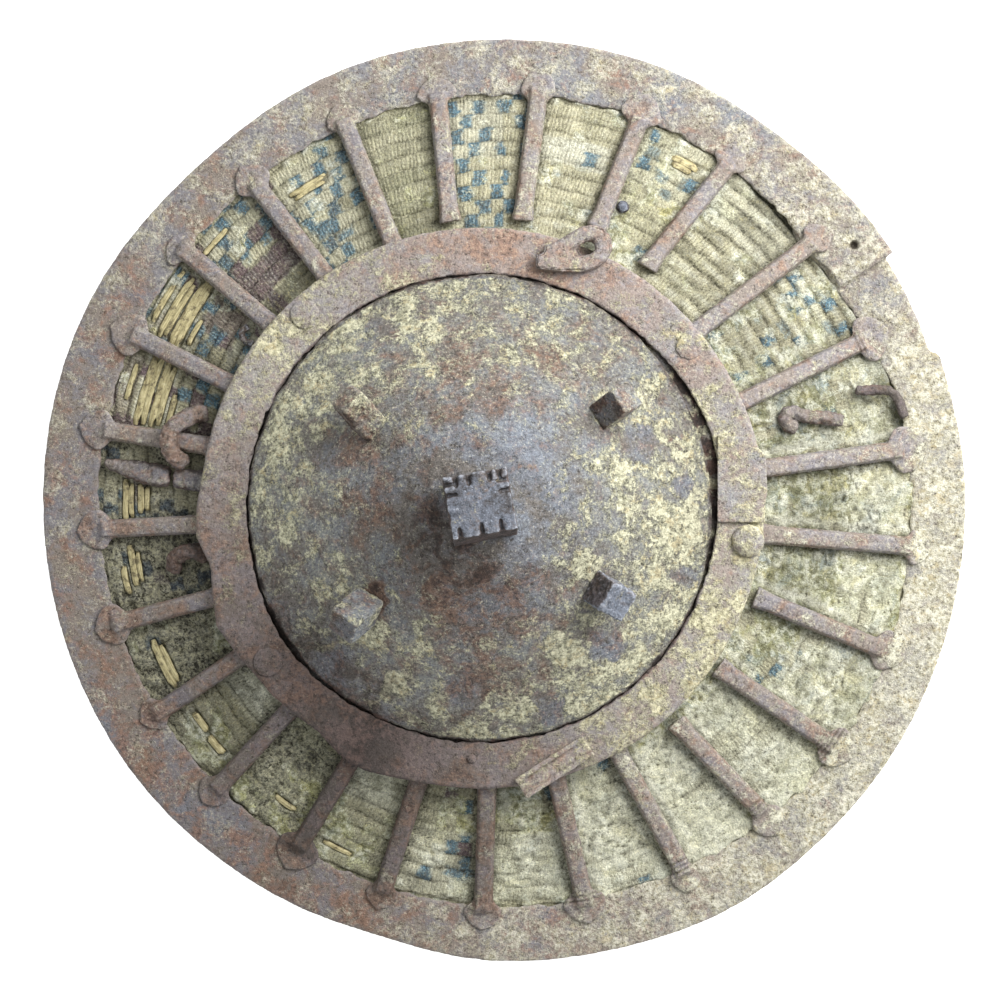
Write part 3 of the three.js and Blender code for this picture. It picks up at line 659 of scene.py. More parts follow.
def swell(piece, depth):
    """Corroded iron takes more room than sound iron."""
    if depth:
        apply_modifier(piece, "DISPLACE", strength=depth * MM, mid_level=0)


def roughen(piece, hammer, pits):
    """Hammer marks only move the skin up and down, so that outlines stay clean; pits follow the surface."""
    for texture, depth, way in ((hammer_marks, hammer, "Z"), (rust_pits, pits, "NORMAL")):
        apply_modifier(
            piece, "DISPLACE", texture=texture, texture_coords="LOCAL", direction=way, strength=depth * MM,
            mid_level=0.5,
        )


def fray_edge(piece, centre, inside, reach, depth, seed):
    """Makes the inner edge of a hoop ragged. Points nearer than `inside` move, fading out over `reach`."""
    x, y, z = (read_points(piece) / MM).T
    dx, dy = x - centre[0], y - centre[1]
    radius = np.hypot(dx, dy)
    uneven = depth * (0.7 * lumps(x, y, 4.5, seed) + 0.6 * lumps(x, y, 1.8, seed + 1))
    shift = uneven * (1 - ramp(radius, inside, inside + reach)) / radius
    write_points_mm(piece, x + dx * shift, y + dy * shift, z)


# %% [markdown]
# ## The rim and the ring
# The rim is one flat hoop of forged plate whose ends overlap at the upper right, with an empty nail hole,
# and the ring is a second, smaller hoop around the boss. Rust has eaten into their inner edges.

# %% Rim
# middles of the empty nail hole and of the hook's eye, in mm
NAIL_HOLE = (132.8, 96.8)
HOOK_EYE = (31.7, 94.7)
rim = recast("rim_hoop", cell=0.85)
fray_edge(rim, (0, 0), 155, 4, 0.8, 61)
melt(rim, 3)
roughen(rim, hammer=0.9, pits=0.3)
x, y, z = (read_points(rim) / MM).T
from_hole = np.hypot(x - NAIL_HOLE[0], y - NAIL_HOLE[1])
hole = (1 - ramp(from_hole, 1.3, 2.2)) * ramp(z, RIM_TOP - 3, RIM_TOP - 1.5)
write_points_mm(rim, x, y, z - 2.2 * hole)
# the sunk nail hole is painted dark: painted shade in the hole
paint_iron(rim, "rim", dirt_and_shade=2 * hole)
dress(rim, rim_iron, "rusted_iron", "rim_hoop")
print("rim faces:", len(rim.data.polygons))

# %% Ring
ring = recast("inner_ring", cell=0.85)
fray_edge(ring, (BOSS_X, BOSS_Y), 88, 3, 0.7, 63)
melt(ring, 3)
roughen(ring, hammer=0.9, pits=0.45)
x, y, _ = (read_points(ring) / MM).T
from_eye = np.hypot(x - HOOK_EYE[0], y - HOOK_EYE[1])
# the ring seen through the hook's eye is painted dark: painted shade in the opening
paint_iron(ring, "ring", dirt_and_shade=2 * (1 - ramp(from_eye, 3.2, 4.4)))
dress(ring, ring_iron, "rusted_iron", "inner_ring")
print("ring faces:", len(ring.data.polygons))

# %% [markdown]
# ## The radial bars
# Twenty-five half-round bars run from the ring to the rim, where each was hammered out into a flat spade. No
# two are alike: their angle, length, spade and rusted end come from the solids. The spades' points have
# rusted blunt, and on five bars the smith filed a few grooves across the shaft, next to the spade.

# %% Spades
SHAFT_END, SPADE_START = 148, 158
SPADE_SCAN_START = 144
SHAFT_HALF_WIDTH = 3.8
SECTORS = 36


def round_spade(piece, number):
    """Wears the pointed spade down to a low disc with three faint lobes."""
    x, y, z = (read_points(piece) / MM).T
    far = np.hypot(x, y) > SPADE_START
    heading = math.atan2(x[far].mean(), y[far].mean())
    along = x * math.sin(heading) + y * math.cos(heading)
    aside = x * math.cos(heading) - y * math.sin(heading)
    plate = (np.abs(aside) > SHAFT_HALF_WIDTH + 0.5) & (along > SPADE_SCAN_START)
    inner, half_width = along[plate].min() - 1, np.abs(aside[plate]).max()
    half_length = 0.4 * (along.max() - inner)
    centre = inner + half_length
    u, v = (along - centre) / half_length, aside / half_width
    turn, reach = np.arctan2(v, u), np.hypot(u, v)
    sector = np.floor((turn + math.pi) / (2 * math.pi) * SECTORS).astype(int) % SECTORS
    edge = np.zeros(SECTORS)
    on_plate = along > inner + 0.5
    np.maximum.at(edge, sector[on_plate], reach[on_plate])
    middles = (np.arange(SECTORS) + 0.5) / SECTORS * 2 * math.pi - math.pi
    edge_here = np.interp(turn, middles, edge, period=2 * math.pi)
    lobes = 1 + 0.07 * np.cos(3 * turn) + 0.05 * lumps(3 * turn, 0 * turn + 7 * number, 1.7, 56)
    worn = 1 - ramp(np.abs(turn), math.radians(120), math.radians(150))
    scale = 1 + worn * (lobes / np.maximum(edge_here, 0.4) - 1)
    along, aside = centre + u * scale * half_length, v * scale * half_width
    base = z[far].min()
    flat = 0.4 * ramp(along, centre - 2, centre + 1)
    z = base + (z - base) * (1 - flat)
    write_points_mm(
        piece,
        along * math.sin(heading) + aside * math.cos(heading),
        along * math.cos(heading) - aside * math.sin(heading),
        z,
    )


# %% Bars
# outermost groove and count of grooves, for the bars that have them
GROOVED = {
    "bar_05": (148, 2), "bar_09": (155, 4), "bar_10": (152, 3), "bar_11": (155, 3), "bar_12": (154, 2),
}
GROOVE_PITCH = 1.7


def file_grooves(piece, outermost, count):
    """Sinks a few grooves across the shaft, and returns how deep each point lies in one, from 0 to 1."""
    x, y, z = (read_points(piece) / MM).T
    radius = np.hypot(x, y)
    depth = np.zeros_like(radius)
    for i in range(count):
        away = np.abs(radius - outermost + i * GROOVE_PITCH)
        depth = np.maximum(depth, (1 - ramp(away, 0.2, 0.6)) * ramp(z, 6, 8))
    write_points_mm(piece, x, y, z - 0.6 * depth)
    return depth


bar_nodes = sorted(node for node in frame["nodes"] if node.startswith("bar_"))
bar_lines = []
for number, node in enumerate(bar_nodes):
    bar = recast(node, cell=0.6)
    x, y, _ = (read_points(bar) / MM).T
    radius = np.hypot(x, y)
    shaft = radius < SHAFT_END
    heading = math.atan2(x.mean(), y.mean())
    off = (np.arctan2(x, y) - heading + math.pi) % (2 * math.pi) - math.pi
    bar_lines.append((heading, *np.polyfit(radius[shaft], off[shaft], 1), radius.min()))
    round_spade(bar, number)
    melt(bar, 6)
    melt(bar, 20, beyond=SPADE_START - 1)
    grooves = file_grooves(bar, *GROOVED.get(node, (0, 0)))
    roughen(bar, hammer=0.6, pits=0.4)
    # the filed grooves get painted shade, since the light runs along them
    paint_iron(bar, "bar", dirt_and_shade=grooves)
    dress(bar, bar_iron, "rusted_iron", node)
print("bars:", len(bar_nodes), "faces on the last one:", len(bar.data.polygons))

# %% [markdown]
# ## The boss
# The boss was raised from one sheet over a hollow. Its solid is a lathe with few sides, whose facets would
# catch the light, so the piece is made again, round: a sphere's rings are laid along the boss's section,
# from the point down the outside, around the flange, and up the inside. Dents and lost scale are added along
# the height.

# %% Boss section
BOSS_RADIUS = 85.4
BOSS_APEX = 76.0
BOSS_SLOPE = 0.7
BOSS_ROUNDING = 18
BOSS_WALL = 2.6
BOSS_FLANGE_RADIUS = (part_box("boss")[1].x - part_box("boss")[0].x) / 2 / MM


def boss_height(radius):
    """Height of the boss's outer face: a cone with a rounded point."""
    return BOSS_APEX - BOSS_SLOPE * (np.hypot(radius, BOSS_ROUNDING) - BOSS_ROUNDING)


outer_radii = np.linspace(0, BOSS_RADIUS, 96)
inner_radii = np.linspace(BOSS_RADIUS - 2, 0, 24)
boss_section = np.vstack([
    np.column_stack([outer_radii, boss_height(outer_radii)]),
    [[BOSS_RADIUS + 0.1, BOSS_FLANGE_TOP + 0.6], [BOSS_RADIUS + 0.8, BOSS_FLANGE_TOP]],
    [[BOSS_FLANGE_RADIUS, BOSS_FLANGE_TOP], [BOSS_FLANGE_RADIUS, BOSS_FLANGE_TOP - BOSS_FLANGE_WALL]],
    [[BOSS_RADIUS - 2, BOSS_FLANGE_TOP - BOSS_FLANGE_WALL]],
    np.column_stack([inner_radii, boss_height(inner_radii) - BOSS_WALL]),
])
print("boss section points:", len(boss_section), "foot height:", round(float(boss_height(BOSS_RADIUS)), 1))

# %% Boss mesh
BOSS_SIDES = 420
bpy.ops.object.select_all(action="DESELECT")
bpy.ops.mesh.primitive_uv_sphere_add(segments=BOSS_SIDES, ring_count=len(boss_section) - 1, radius=1)
boss = bpy.context.object
boss.name = "boss_raised"
unit = read_points(boss)
ring_number = np.rint(np.arccos(np.clip(unit[:, 2], -1, 1)) / math.pi * (len(boss_section) - 1)).astype(int)
turn = np.arctan2(unit[:, 1], unit[:, 0])
radius, height = boss_section[ring_number].T
x, y = radius * np.cos(turn) + BOSS_X, radius * np.sin(turn) + BOSS_Y
is_outside = ring_number < len(outer_radii)
print("boss points outside:", int(is_outside.sum()), "inside:", int((~is_outside).sum()))

# %% Rust at the boss's foot, dents and lost scale
foot_turn = clock_angle(x - BOSS_X, y - BOSS_Y)
swollen = 1.3 + 0.5 * lumps(foot_turn * 1.5, 0 * x, 7, 16) + 0.3 * lumps(foot_turn * 1.5, 0 * x, 2.5, 17)
swollen = swollen * (1 - 0.95 * open_side(foot_turn))
swollen = np.clip(swollen, 0, 1.7) * ramp(radius, 60, 84) * (radius < BOSS_RADIUS + 0.5)
x, y = x + swollen * np.cos(turn), y + swollen * np.sin(turn)
fade = ramp(BOSS_RADIUS - radius, 0, 12)
dent = 0.55 * lumps(x, y, 24, 11) + 0.28 * lumps(x, y, 9, 12) + 0.12 * lumps(x, y, 3.2, 13)
scale_loss = -0.35 * ramp(lumps(x, y, 6, 14) + 0.5 * lumps(x, y, 2.5, 15), 0.25, 0.55)
height = height + np.where(is_outside, (dent + scale_loss) * (0.4 + 0.6 * fade), dent * 0.6)
write_points_mm(boss, x, y, height)
paint_iron(boss, "boss")
dress(boss, boss_iron, "rusted_iron", "boss")
print("boss faces:", len(boss.data.polygons))

# %% [markdown]
# ## Studs, rivets and fragments
# The studs are square pegs, sharp once and now worn. The fragments are bent rods and straps whose use is
# lost. All are small, so their cells are fine enough to keep the filed notches.

# %% Filed notches of the central stud
STUD_TURN = 10.4
STUD_HALF = 11.4
FILED = {"top": [0.19, 0.39, 0.71, 0.87], "right": [0.2, 0.37, 0.66], "bottom": [0.12, 0.46, 0.76],
         "left": [0.13, 0.3, 0.62]}
FILED_DEPTH = {"top": 2.0, "right": 1.3, "bottom": 1.2, "left": 1.1}
FILED_WIDTH, FILED_LENGTH = 1.15, 5.0


def open_notches(piece):
    """Widens the notches along the four top edges into worn hollows, with rounded lobes between them."""
    x, y, z = (read_points(piece) / MM).T
    top = z > z.max() - 4
    centre_x, centre_y = (x[top].min() + x[top].max()) / 2, (y[top].min() + y[top].max()) / 2
    turn = math.radians(STUD_TURN)
    u = (x - centre_x) * math.cos(turn) + (y - centre_y) * math.sin(turn)
    v = (y - centre_y) * math.cos(turn) - (x - centre_x) * math.sin(turn)
    near_top = ramp(z, z.max() - 9, z.max() - 4)
    sink, pull_u, pull_v = (np.zeros_like(x) for _ in range(3))
    for side, fractions in FILED.items():
        across, inward = {"top": (u, v), "bottom": (u, -v), "right": (-v, u), "left": (-v, -u)}[side]
        from_edge = STUD_HALF - inward
        for fraction in fractions:
            middle = (fraction - 0.5) * 2 * STUD_HALF
            hollow = np.exp(-(((across - middle) / FILED_WIDTH) ** 2))
            hollow = hollow * (1 - ramp(from_edge, 1, FILED_LENGTH))
            sink = np.maximum(sink, FILED_DEPTH[side] * hollow * near_top)
            pulled = 0.5 * FILED_DEPTH[side] * hollow * near_top * (1 - ramp(from_edge, 0, 2.5))
            if side in ("top", "bottom"):
                pull_v += pulled * (-1 if side == "top" else 1)
            else:
                pull_u += pulled * (-1 if side == "right" else 1)
    u, v = u + pull_u, v + pull_v
    x = centre_x + u * math.cos(turn) - v * math.sin(turn)
    y = centre_y + u * math.sin(turn) + v * math.cos(turn)
    write_points_mm(piece, x, y, z - sink)


def fill_narrow(piece, reach, cell):
    """Grows a piece until its narrow gaps close, then draws it back: rust fills gaps in the same way."""
    swell(piece, reach)
    apply_modifier(piece, "REMESH", mode="VOXEL", voxel_size=cell * MM)
    swell(piece, 0.6 - reach)


# %% Small iron pieces
# node: cell, melt, swell, roughness, finish, and the levels of crust, rust, sheen and dark
small_pieces = {
    "central_stud": (0.45, 7, 0.0, 1.0, stud_iron, (0.05, 0.25, 0.70, 0.05)),
    "stud_upper_left": (0.48, 34, 0.7, 2.2, boss_iron, (0.44, 0.75, 0.15, 0.12)),
    "stud_upper_right": (0.48, 5, 0.0, 1.8, boss_iron, (0.45, 0.60, 0.70, 0.00)),
    "stud_lower_right": (0.48, 6, 0.2, 3.0, stud_iron, (0.20, 0.30, 1.10, 0.00)),
    "stud_lower_left": (0.48, 22, 0.6, 1.6, boss_iron, (0.40, 0.40, 0.80, 0.08)),
    "ring_rivet_upper_left": (0.48, 6, 0.0, 1.0, ring_iron, None),
    "ring_rivet_lower_left": (0.48, 6, 0.0, 1.0, ring_iron, None),
    "ring_rivet_right": (0.48, 6, 0.3, 1.0, ring_iron, None),
    "ring_rivet_upper_right": (0.48, 8, 0.0, 1.0, ring_iron, None),
    "ring_nail": (0.25, 2, 0.0, 1.0, ring_iron, None),
    "cane_nail": (0.25, 1, 0.3, 1.6, stud_iron, (0.00, 0.00, 1.00, 0.10)),
    "ring_patch": (0.55, 4, 0.0, 1.0, ring_iron, (0.46, 0.35, 0.50, 0.00)),
    "hook_top": (0.45, 5, 0.3, 1.8, ring_iron, (0.34, 0.45, 0.20, 0.00)),
    "strap_bottom": (0.48, 4, 0.0, 1.5, ring_iron, (0.40, 0.60, 0.00, 0.10)),
    "link_left": (0.48, 5, 1.1, 3.4, bar_iron, (0.20, 0.75, 0.00, 0.35)),
    "loop_lower_left": (0.40, 5, 1.8, 3.6, bar_iron, (0.05, 0.90, 0.00, 0.75)),
    "curl_upper_left": (0.30, 3, 0.3, 1.5, stud_iron, (0.20, 0.60, 0.00, 0.20)),
    "pin_inner_right": (0.40, 5, 0.8, 3.0, bar_iron, (0.34, 0.60, 0.00, 0.35)),
    "pin_outer_right": (0.40, 5, 0.4, 2.6, bar_iron, (0.15, 0.30, 0.20, 0.75)),
    "broken_bar_outer": (0.48, 8, 1.0, 3.4, bar_iron, (0.22, 0.55, 0.50, 0.15)),
    "broken_bar_inner": (0.48, 8, 0.8, 3.2, bar_iron, (0.22, 0.55, 0.40, 0.20)),
}
# for these pieces, faces that look one way, or every steep face, get painted shade
PAINTED_SHADE_SIDES = {
    "central_stud": ("steep", 0.9), "stud_upper_right": (232, 0.6), "stud_lower_right": (304, 0.55),
    "stud_upper_left": (205, 0.6), "stud_lower_left": (215, 0.3), "hook_top": ("steep", 0.3),
    "link_left": ("steep", 0.6), "pin_inner_right": ("steep", 0.6), "broken_bar_outer": ("steep", 0.6),
    "broken_bar_inner": ("steep", 0.6), "cane_nail": ("steep", 0.7), "pin_outer_right": ("steep", 0.8),
}
for node, (cell, melting, swelling, roughness, material, levels) in small_pieces.items():
    piece = recast(node, cell)
    melt(piece, melting)
    if node == "central_stud":
        open_notches(piece)
        melt(piece, 3)
    if node == "hook_top":
        fill_narrow(piece, 2.6, cell)
    swell(piece, swelling)
    roughen(piece, hammer=0.5 * roughness, pits=0.5 * roughness)
    crust, rust, sheen, dark = levels or (None,) * 4
    kind = "ring" if material == ring_iron else "bar"
    paint_iron(piece, kind, crust, rust, sheen, dark, painted_shade_side=PAINTED_SHADE_SIDES.get(node))
    slot = next(part["material_slot"] for part in frame["record"]["subparts"] if part["node"] == node)
    dress(piece, material, slot, node)
print("small pieces:", len(small_pieces))

# %% [markdown]
# ## The coiled cane: where everything is
# The disc is wound like a basket: a bundle of cane goes round and round, each turn stitched to the last with
# thread wrapped closely around it. So the surface has ridges of one coil each, and across each ridge the
# fine ribs of the thread. Blocks of dyed thread made a pattern. A torus is already a closed ring with a
# section, so the disc starts as a torus, and its section's points are moved to the flange, the coils, the
# hub and the underside.

# %% Shape of the disc
COIL_PITCH = 5.5
FIRST_VALLEY = 152.3
FLANGE_TOP = 5.0
DISC_HOLE = 79.5
HUB_RADIUS, HUB_STEP_RADIUS = 100.5, 91.9
RIM_OUTER_RADIUS, DISC_INSET = 175.2, 3.8
MM_PER_DEGREE = 2.2
TORUS_RADIUS = 3
TORUS_COLUMNS, CUTS = 256, 2
COLUMNS = TORUS_COLUMNS * (CUTS + 1)
COIL_ROWS, HUB_ROWS, UNDER_ROWS = 92, 13, 8


def shaped(angle, radius, shape):
    """A radius that changes slowly around the shield; shape lists angle, change and spread."""
    result = np.full_like(angle, radius, dtype=float)
    for centre, change, spread in shape:
        away = (angle - centre + 180) % 360 - 180
        result += change * np.exp(-((away / spread) ** 2))
    return result


RIM_OUTER_SHAPE = [[37, -1.7, 11], [76, -0.9, 8], [128, 0.9, 18], [151, 1.7, 11], [196, -2.9, 10],
                   [213, -1.6, 14], [317, -2.9, 16]]
RIM_INNER_SHAPE = [[51, -3.8, 15], [130, 3, 26], [213, -1, 22], [300, -1, 16]]


def cane_top(radius):
    """Height of the cane before wear: flat under the rim, and rising like a low cone to the hub."""
    return FLANGE_TOP + np.maximum(0, 155 - radius) * 0.232


def reach_to(angle, radius):
    """Distance from the rim's centre to a circle around the boss's axis."""
    turn = np.radians(angle)
    along = np.sin(turn) * BOSS_X + np.cos(turn) * BOSS_Y
    return along + np.sqrt(along**2 - BOSS_X**2 - BOSS_Y**2 + radius**2)


def lap_dip(angle, radius):
    """How far the coils are let down under the rim's lower end."""
    around = ramp(angle, 34, 42) * (1 - ramp(angle, 78, 86))
    return 2.9 * around * ramp(radius, 106.5, 147)


# %% [markdown]
# ## The coiled cane: panels
# The bars divide the disc into twenty-five panels, and each aged in its own way. For each panel a few levels
# say what it looks like: how much crust lies on it, how dark it is, which dye its blocks have and how often
# they come, and whether whole coils change colour by turns. The blocks themselves are generic: they are
# drawn by a seeded chance on a chequer, one coil tall and a few threads wide.

# %% Panels
# start angle: crust, dark, olive, blue blocks, maroon blocks, banding
PANELS = [
    (4, 0.30, 0.00, 0.02, 0.06, 0.00, 0.10), (19, 0.40, 0.04, 0.20, 0.22, 0.00, 0.05),
    (33, 0.35, 0.06, 0.10, 0.02, 0.00, 0.50), (49.5, 0.50, 0.14, 0.12, 0.30, 0.00, 0.20),
    (66.5, 0.85, 0.22, 0.05, 0.12, 0.00, 0.05), (82.7, 0.90, 0.18, 0.05, 0.06, 0.00, 0.00),
    (97, 0.90, 0.12, 0.15, 0.06, 0.00, 0.00), (111.3, 0.85, 0.06, 0.16, 0.18, 0.00, 0.00),
    (127.3, 0.90, 0.02, 0.34, 0.00, 0.00, 0.00), (141.5, 0.95, 0.00, 0.33, 0.00, 0.00, 0.00),
    (155, 0.85, 0.00, 0.25, 0.05, 0.00, 0.05), (169, 0.65, 0.05, 0.30, 0.06, 0.00, 0.10),
    (183.2, 0.50, 0.08, 0.30, 0.18, 0.05, 0.15), (197.2, 0.52, 0.02, 0.36, 0.04, 0.05, 0.20),
    (210.6, 0.40, 0.20, 0.50, 0.00, 0.00, 0.10), (225.4, 0.50, 0.07, 0.28, 0.08, 0.00, 0.10),
    (239, 0.24, 0.48, 0.45, 0.06, 0.00, 0.05), (252, 0.18, 0.34, 0.22, 0.40, 0.04, 0.05),
    (265.7, 0.12, 0.13, 0.00, 0.45, 0.10, 0.05), (280.3, 0.15, 0.01, 0.00, 0.17, 0.27, 0.05),
    (293.5, 0.18, 0.00, 0.00, 0.42, 0.18, 0.05), (307.5, 0.16, 0.02, 0.05, 0.65, 0.25, 0.05),
    (321.8, 0.22, 0.02, 0.16, 0.70, 0.04, 0.10), (336.8, 0.26, 0.00, 0.50, 0.02, 0.00, 0.45),
    (349.6, 0.30, 0.00, 0.02, 0.80, 0.00, 0.00),
]
panel_starts = np.array([row[0] for row in PANELS])
panel_levels = np.array([row[1:] for row in PANELS])


def panel_number(angle):
    """The panel that each angle lies in. An angle before the first start lies in the last panel."""
    return np.searchsorted(panel_starts, angle % 360, side="right") - 1


def panel_values(angle):
    """The levels of the panel that each angle lies in, one row for each level."""
    return panel_levels[panel_number(angle)].T


print("panels:", len(panel_levels))


# %% [markdown]
# Some broad places stand out: a dark blotch, a length of maroon, thread bleached pale. The pale places close
# to the ring on the lower left are painted light against the shade of the ring, and the dark strips along
# the rim's inner edge at the upper right are painted shade. They are laid over the chance blocks as areas
# with an uneven edge, and a plain place keeps blue blocks away.

# %% Broad places
# for each kind of place: from angle, to angle, from radius, to radius, strength
PLACES = {
    "maroon": [
        (281, 292, 146, 153, 0.5), (295, 299, 138, 150, 0.4), (299, 305.5, 118, 133, 0.75),
        (308, 321, 118, 130, 0.95),
    ],
    "blue": [
        (12, 14.5, 128, 132, 0.2), (22, 24.5, 141, 146, 0.6), (24.8, 27, 133.5, 138, 0.7),
        (26.5, 28.5, 129, 132.5, 0.6), (29, 31.5, 135, 139, 0.5), (53.6, 56, 135, 138.5, 0.5),
        (55.8, 57.4, 129, 134, 1.0), (56, 58, 141, 145, 0.5), (57, 60, 122, 126, 0.6),
        (61, 63, 137, 141, 0.6), (117, 119, 125, 128, 0.8), (119.5, 121.2, 131, 134, 0.6),
        (185, 189, 140, 145, 0.9), (298, 301, 122, 128, 0.9), (324.5, 328, 120, 126, 1.0),
        (327.5, 331, 115, 119, 0.9),
    ],
    "plain": [
        (307, 322.5, 98, 133, 0.9),
    ],
    "pale_and_lit": [
        (6, 17, 129, 139, 0.8), (19.8, 22.6, 116, 122, 1.0), (20, 31, 130, 152, 0.3),
        (34, 48, 131, 152, 0.45), (67, 80, 134, 150, 0.3), (84, 96, 132, 152, 0.4),
        (98, 110, 130, 152, 0.4), (112, 126, 122, 160, 0.4), (128, 141, 106, 160, 0.6),
        (142, 154, 106, 160, 0.7), (156, 168, 104, 160, 0.6), (170, 182, 126, 152, 0.6),
        (184, 196, 126, 153, 0.5), (198, 210, 103, 126, 0.8), (212, 224, 103, 124, 0.4),
        (226, 238, 103, 126, 1.0), (295, 306, 104, 118, 0.7), (309, 321, 140, 152, 0.3),
        (323, 335, 104, 126, 0.3), (323, 335, 130, 150, 0.3), (338, 349, 116, 150, 0.1),
        (350, 363, 130, 153, 0.5),
    ],
    "dark": [
        (17, 20.8, 98, 106, 1.0), (34.5, 38, 114, 119, 0.55), (35, 40, 126, 130, 0.4),
        (38, 63, 150.4, 155, 0.7), (39, 43, 136, 142, 0.5), (39.5, 44, 147, 151, 0.45),
        (41, 46, 120, 124, 0.45), (50, 65, 104, 126, 0.35), (52, 57, 112, 118, 0.4),
        (67, 80, 106, 128, 0.5), (68, 81, 150.5, 155, 0.8), (84, 96, 106, 129, 0.6),
        (98, 110, 104, 128, 0.5), (112, 126, 106, 124, 0.2), (128, 140, 106, 116, 0.2),
        (169, 182, 104, 118, 0.3), (183, 197, 106, 117, 0.35), (198, 210, 128, 152, 0.25),
        (215, 218.5, 117, 128, 0.8), (226, 238, 127, 152, 0.5), (240, 251, 106, 122, 0.4),
        (240, 251, 122, 152, 0.5), (252, 265, 106, 132, 0.45), (253, 264, 136, 152, 0.2),
        (266, 279, 106, 130, 0.3), (281, 293, 106, 127, 0.15), (295, 298.5, 110, 135, 0.5),
        (295, 306, 132, 152, 0.15), (308, 321, 110, 118, 0.6), (336, 349, 104, 114, 0.3),
    ],
    "crust": [
        (6, 17, 134, 139, 0.45), (59, 62, 150, 156, 0.6), (344, 345.5, 149, 151, 0.9),
    ],
}


def place_strength(kind, angle, radius):
    """How strongly the broad places of one kind cover each point, from 0 to 1."""
    total = np.zeros_like(radius)
    edge = 0.7 + 0.8 * lumps(angle, radius, 0.9, 31) + 0.8 * lumps(angle, radius, 2.3, 32)
    for a0, a1, r0, r1, strength in PLACES[kind]:
        along = np.minimum(angle - a0, a1 - angle) * MM_PER_DEGREE + edge
        across = np.minimum(radius - r0, r1 - radius) + edge
        total = np.maximum(total, strength * ramp(np.minimum(along, across), 0, 1.5))
    return total


print("broad places:", sum(len(rows) for rows in PLACES.values()))


# %% [markdown]
# Where the thread has rotted away, the split cane of the bundle lies bare. Each splint is listed with the
# angles where it starts and ends, its radius and its width, because the bed under it has to be lower and
# darker, with painted shade.

# %% Bare splints
SPLINTS = [
    (26, 30.3, 145.2, 2.2), (26.4, 29.6, 142.8, 1.9), (228, 231.4, 143.4, 2.4),
    (232.2, 235.6, 142.4, 2.2), (240.4, 248.4, 143.6, 2.3), (241, 247.2, 141.2, 1.9),
    (256, 260.2, 146.7, 2.0), (257, 263.2, 142.8, 2.2), (257.4, 262, 140.6, 1.6),
    (266.6, 273.2, 143.6, 1.9), (267.4, 272.6, 141.4, 1.7), (268, 272.6, 137.6, 2.1),
    (268.4, 272.2, 135.4, 1.7), (281.6, 292.8, 142.6, 2.2), (281.9, 292.8, 140.2, 2.2),
    (281.8, 292.9, 136.9, 2.2), (282.2, 292, 134.5, 2.2), (285, 290.4, 148.6, 1.7),
    (294.8, 306.4, 139.8, 2.3), (295.2, 306.2, 137.4, 2.3), (295.4, 305.6, 145.2, 2.0),
    (296, 304.8, 143.0, 1.8), (297, 305.6, 149.8, 1.9), (324.8, 331.2, 140.8, 1.6),
    (325.2, 330.6, 139.0, 1.5), (309, 314.4, 147.2, 1.6), (214, 217.8, 141.6, 1.8),
    (203.4, 208, 146.2, 1.5), (296.2, 300.8, 133.4, 1.6), (282.4, 287.8, 130.4, 1.7),
]


def splint_bed(angle, radius):
    """1 under the bare splints and a little around them, 0 elsewhere."""
    total = np.zeros_like(radius)
    for a0, a1, r, width in SPLINTS:
        along = np.minimum(angle - a0, a1 - angle) * 2.4 + 1.2
        across = width / 2 + 0.9 - np.abs(radius - r)
        total = np.maximum(total, ramp(np.minimum(along, across), 0, 1.0))
    return total


print("bare splints:", len(SPLINTS))


# %% [markdown]
# ## The coiled cane: section
# Each column of the torus is one cut through the disc. Its rows go from the outer edge over the flange, down
# the coils, over the hub and back along the underside.

# %% Section rows
FLANGE_ROWS = [(171.0, 2.5), (171.0, 4.6), (169, 4.95), (160, 4.95), (155.4, 4.95)]
COIL_START, COIL_END = 154.6, 112.0
HUB_EDGE_ROWS = 8
COILS_END = COIL_ROWS + HUB_ROWS - 2
row_count = len(FLANGE_ROWS) + COIL_ROWS + HUB_ROWS + HUB_EDGE_ROWS + UNDER_ROWS + 2
print("disc rows:", row_count)


def disc_section(angle):
    """Radius and height of every row in every column. Heights that the relief gives are left as nan."""
    outer = shaped(angle, RIM_OUTER_RADIUS, RIM_OUTER_SHAPE) - DISC_INSET
    hub, step_radius, hole = (reach_to(angle, r) for r in (HUB_RADIUS, HUB_STEP_RADIUS, DISC_HOLE))
    level = np.full_like(angle, 1.0)
    start = np.maximum(COIL_START, shaped(angle, RIM_INNER_RADIUS, RIM_INNER_SHAPE) + 1.5)
    rows = [
        (outer - 171 + r if r > 165 else np.maximum(r, start + 0.8), h * level) for r, h in FLANGE_ROWS
    ]
    rows += [(start + (COIL_END - start) * i / (COIL_ROWS - 1), np.nan * level) for i in range(COIL_ROWS)]
    to_hub = hub + 0.3 - COIL_END
    rows += [(COIL_END + to_hub * i / HUB_ROWS, np.nan * level) for i in range(1, HUB_ROWS + 1)]
    hub_rows = [
        (hub - 0.2, 24.4), (hub - 1, 24.7), (step_radius + 0.5, 24.7), (step_radius, 22.3), (hole + 1, 22.3),
        (hole, 21.8), (hole, 10.2), (hole + 0.8, 9.5),
    ]
    rows += [(r, h * level) for r, h in hub_rows]
    for i in range(UNDER_ROWS):
        radius = hub - 1 + (RIM_INNER_RADIUS - hub + 1) * i / (UNDER_ROWS - 1)
        rows.append((radius, np.minimum(9.5, np.maximum(0, (RIM_INNER_RADIUS - radius) * 0.228))))
    rows += [(160 * level, 0 * level), (outer - 0.6, 0 * level)]
    return np.array([r for r, _ in rows]), np.array([h for _, h in rows])


# %% [markdown]
# ## The coiled cane: relief
# The relief of a coil is a half-round. Crust fills the valleys and adds lumps, worn places sink, and a bed
# is sunk under each bare splint. Close to the rim the crust climbs to the iron, as it does on the real
# shield.

# %% Distance from the bars


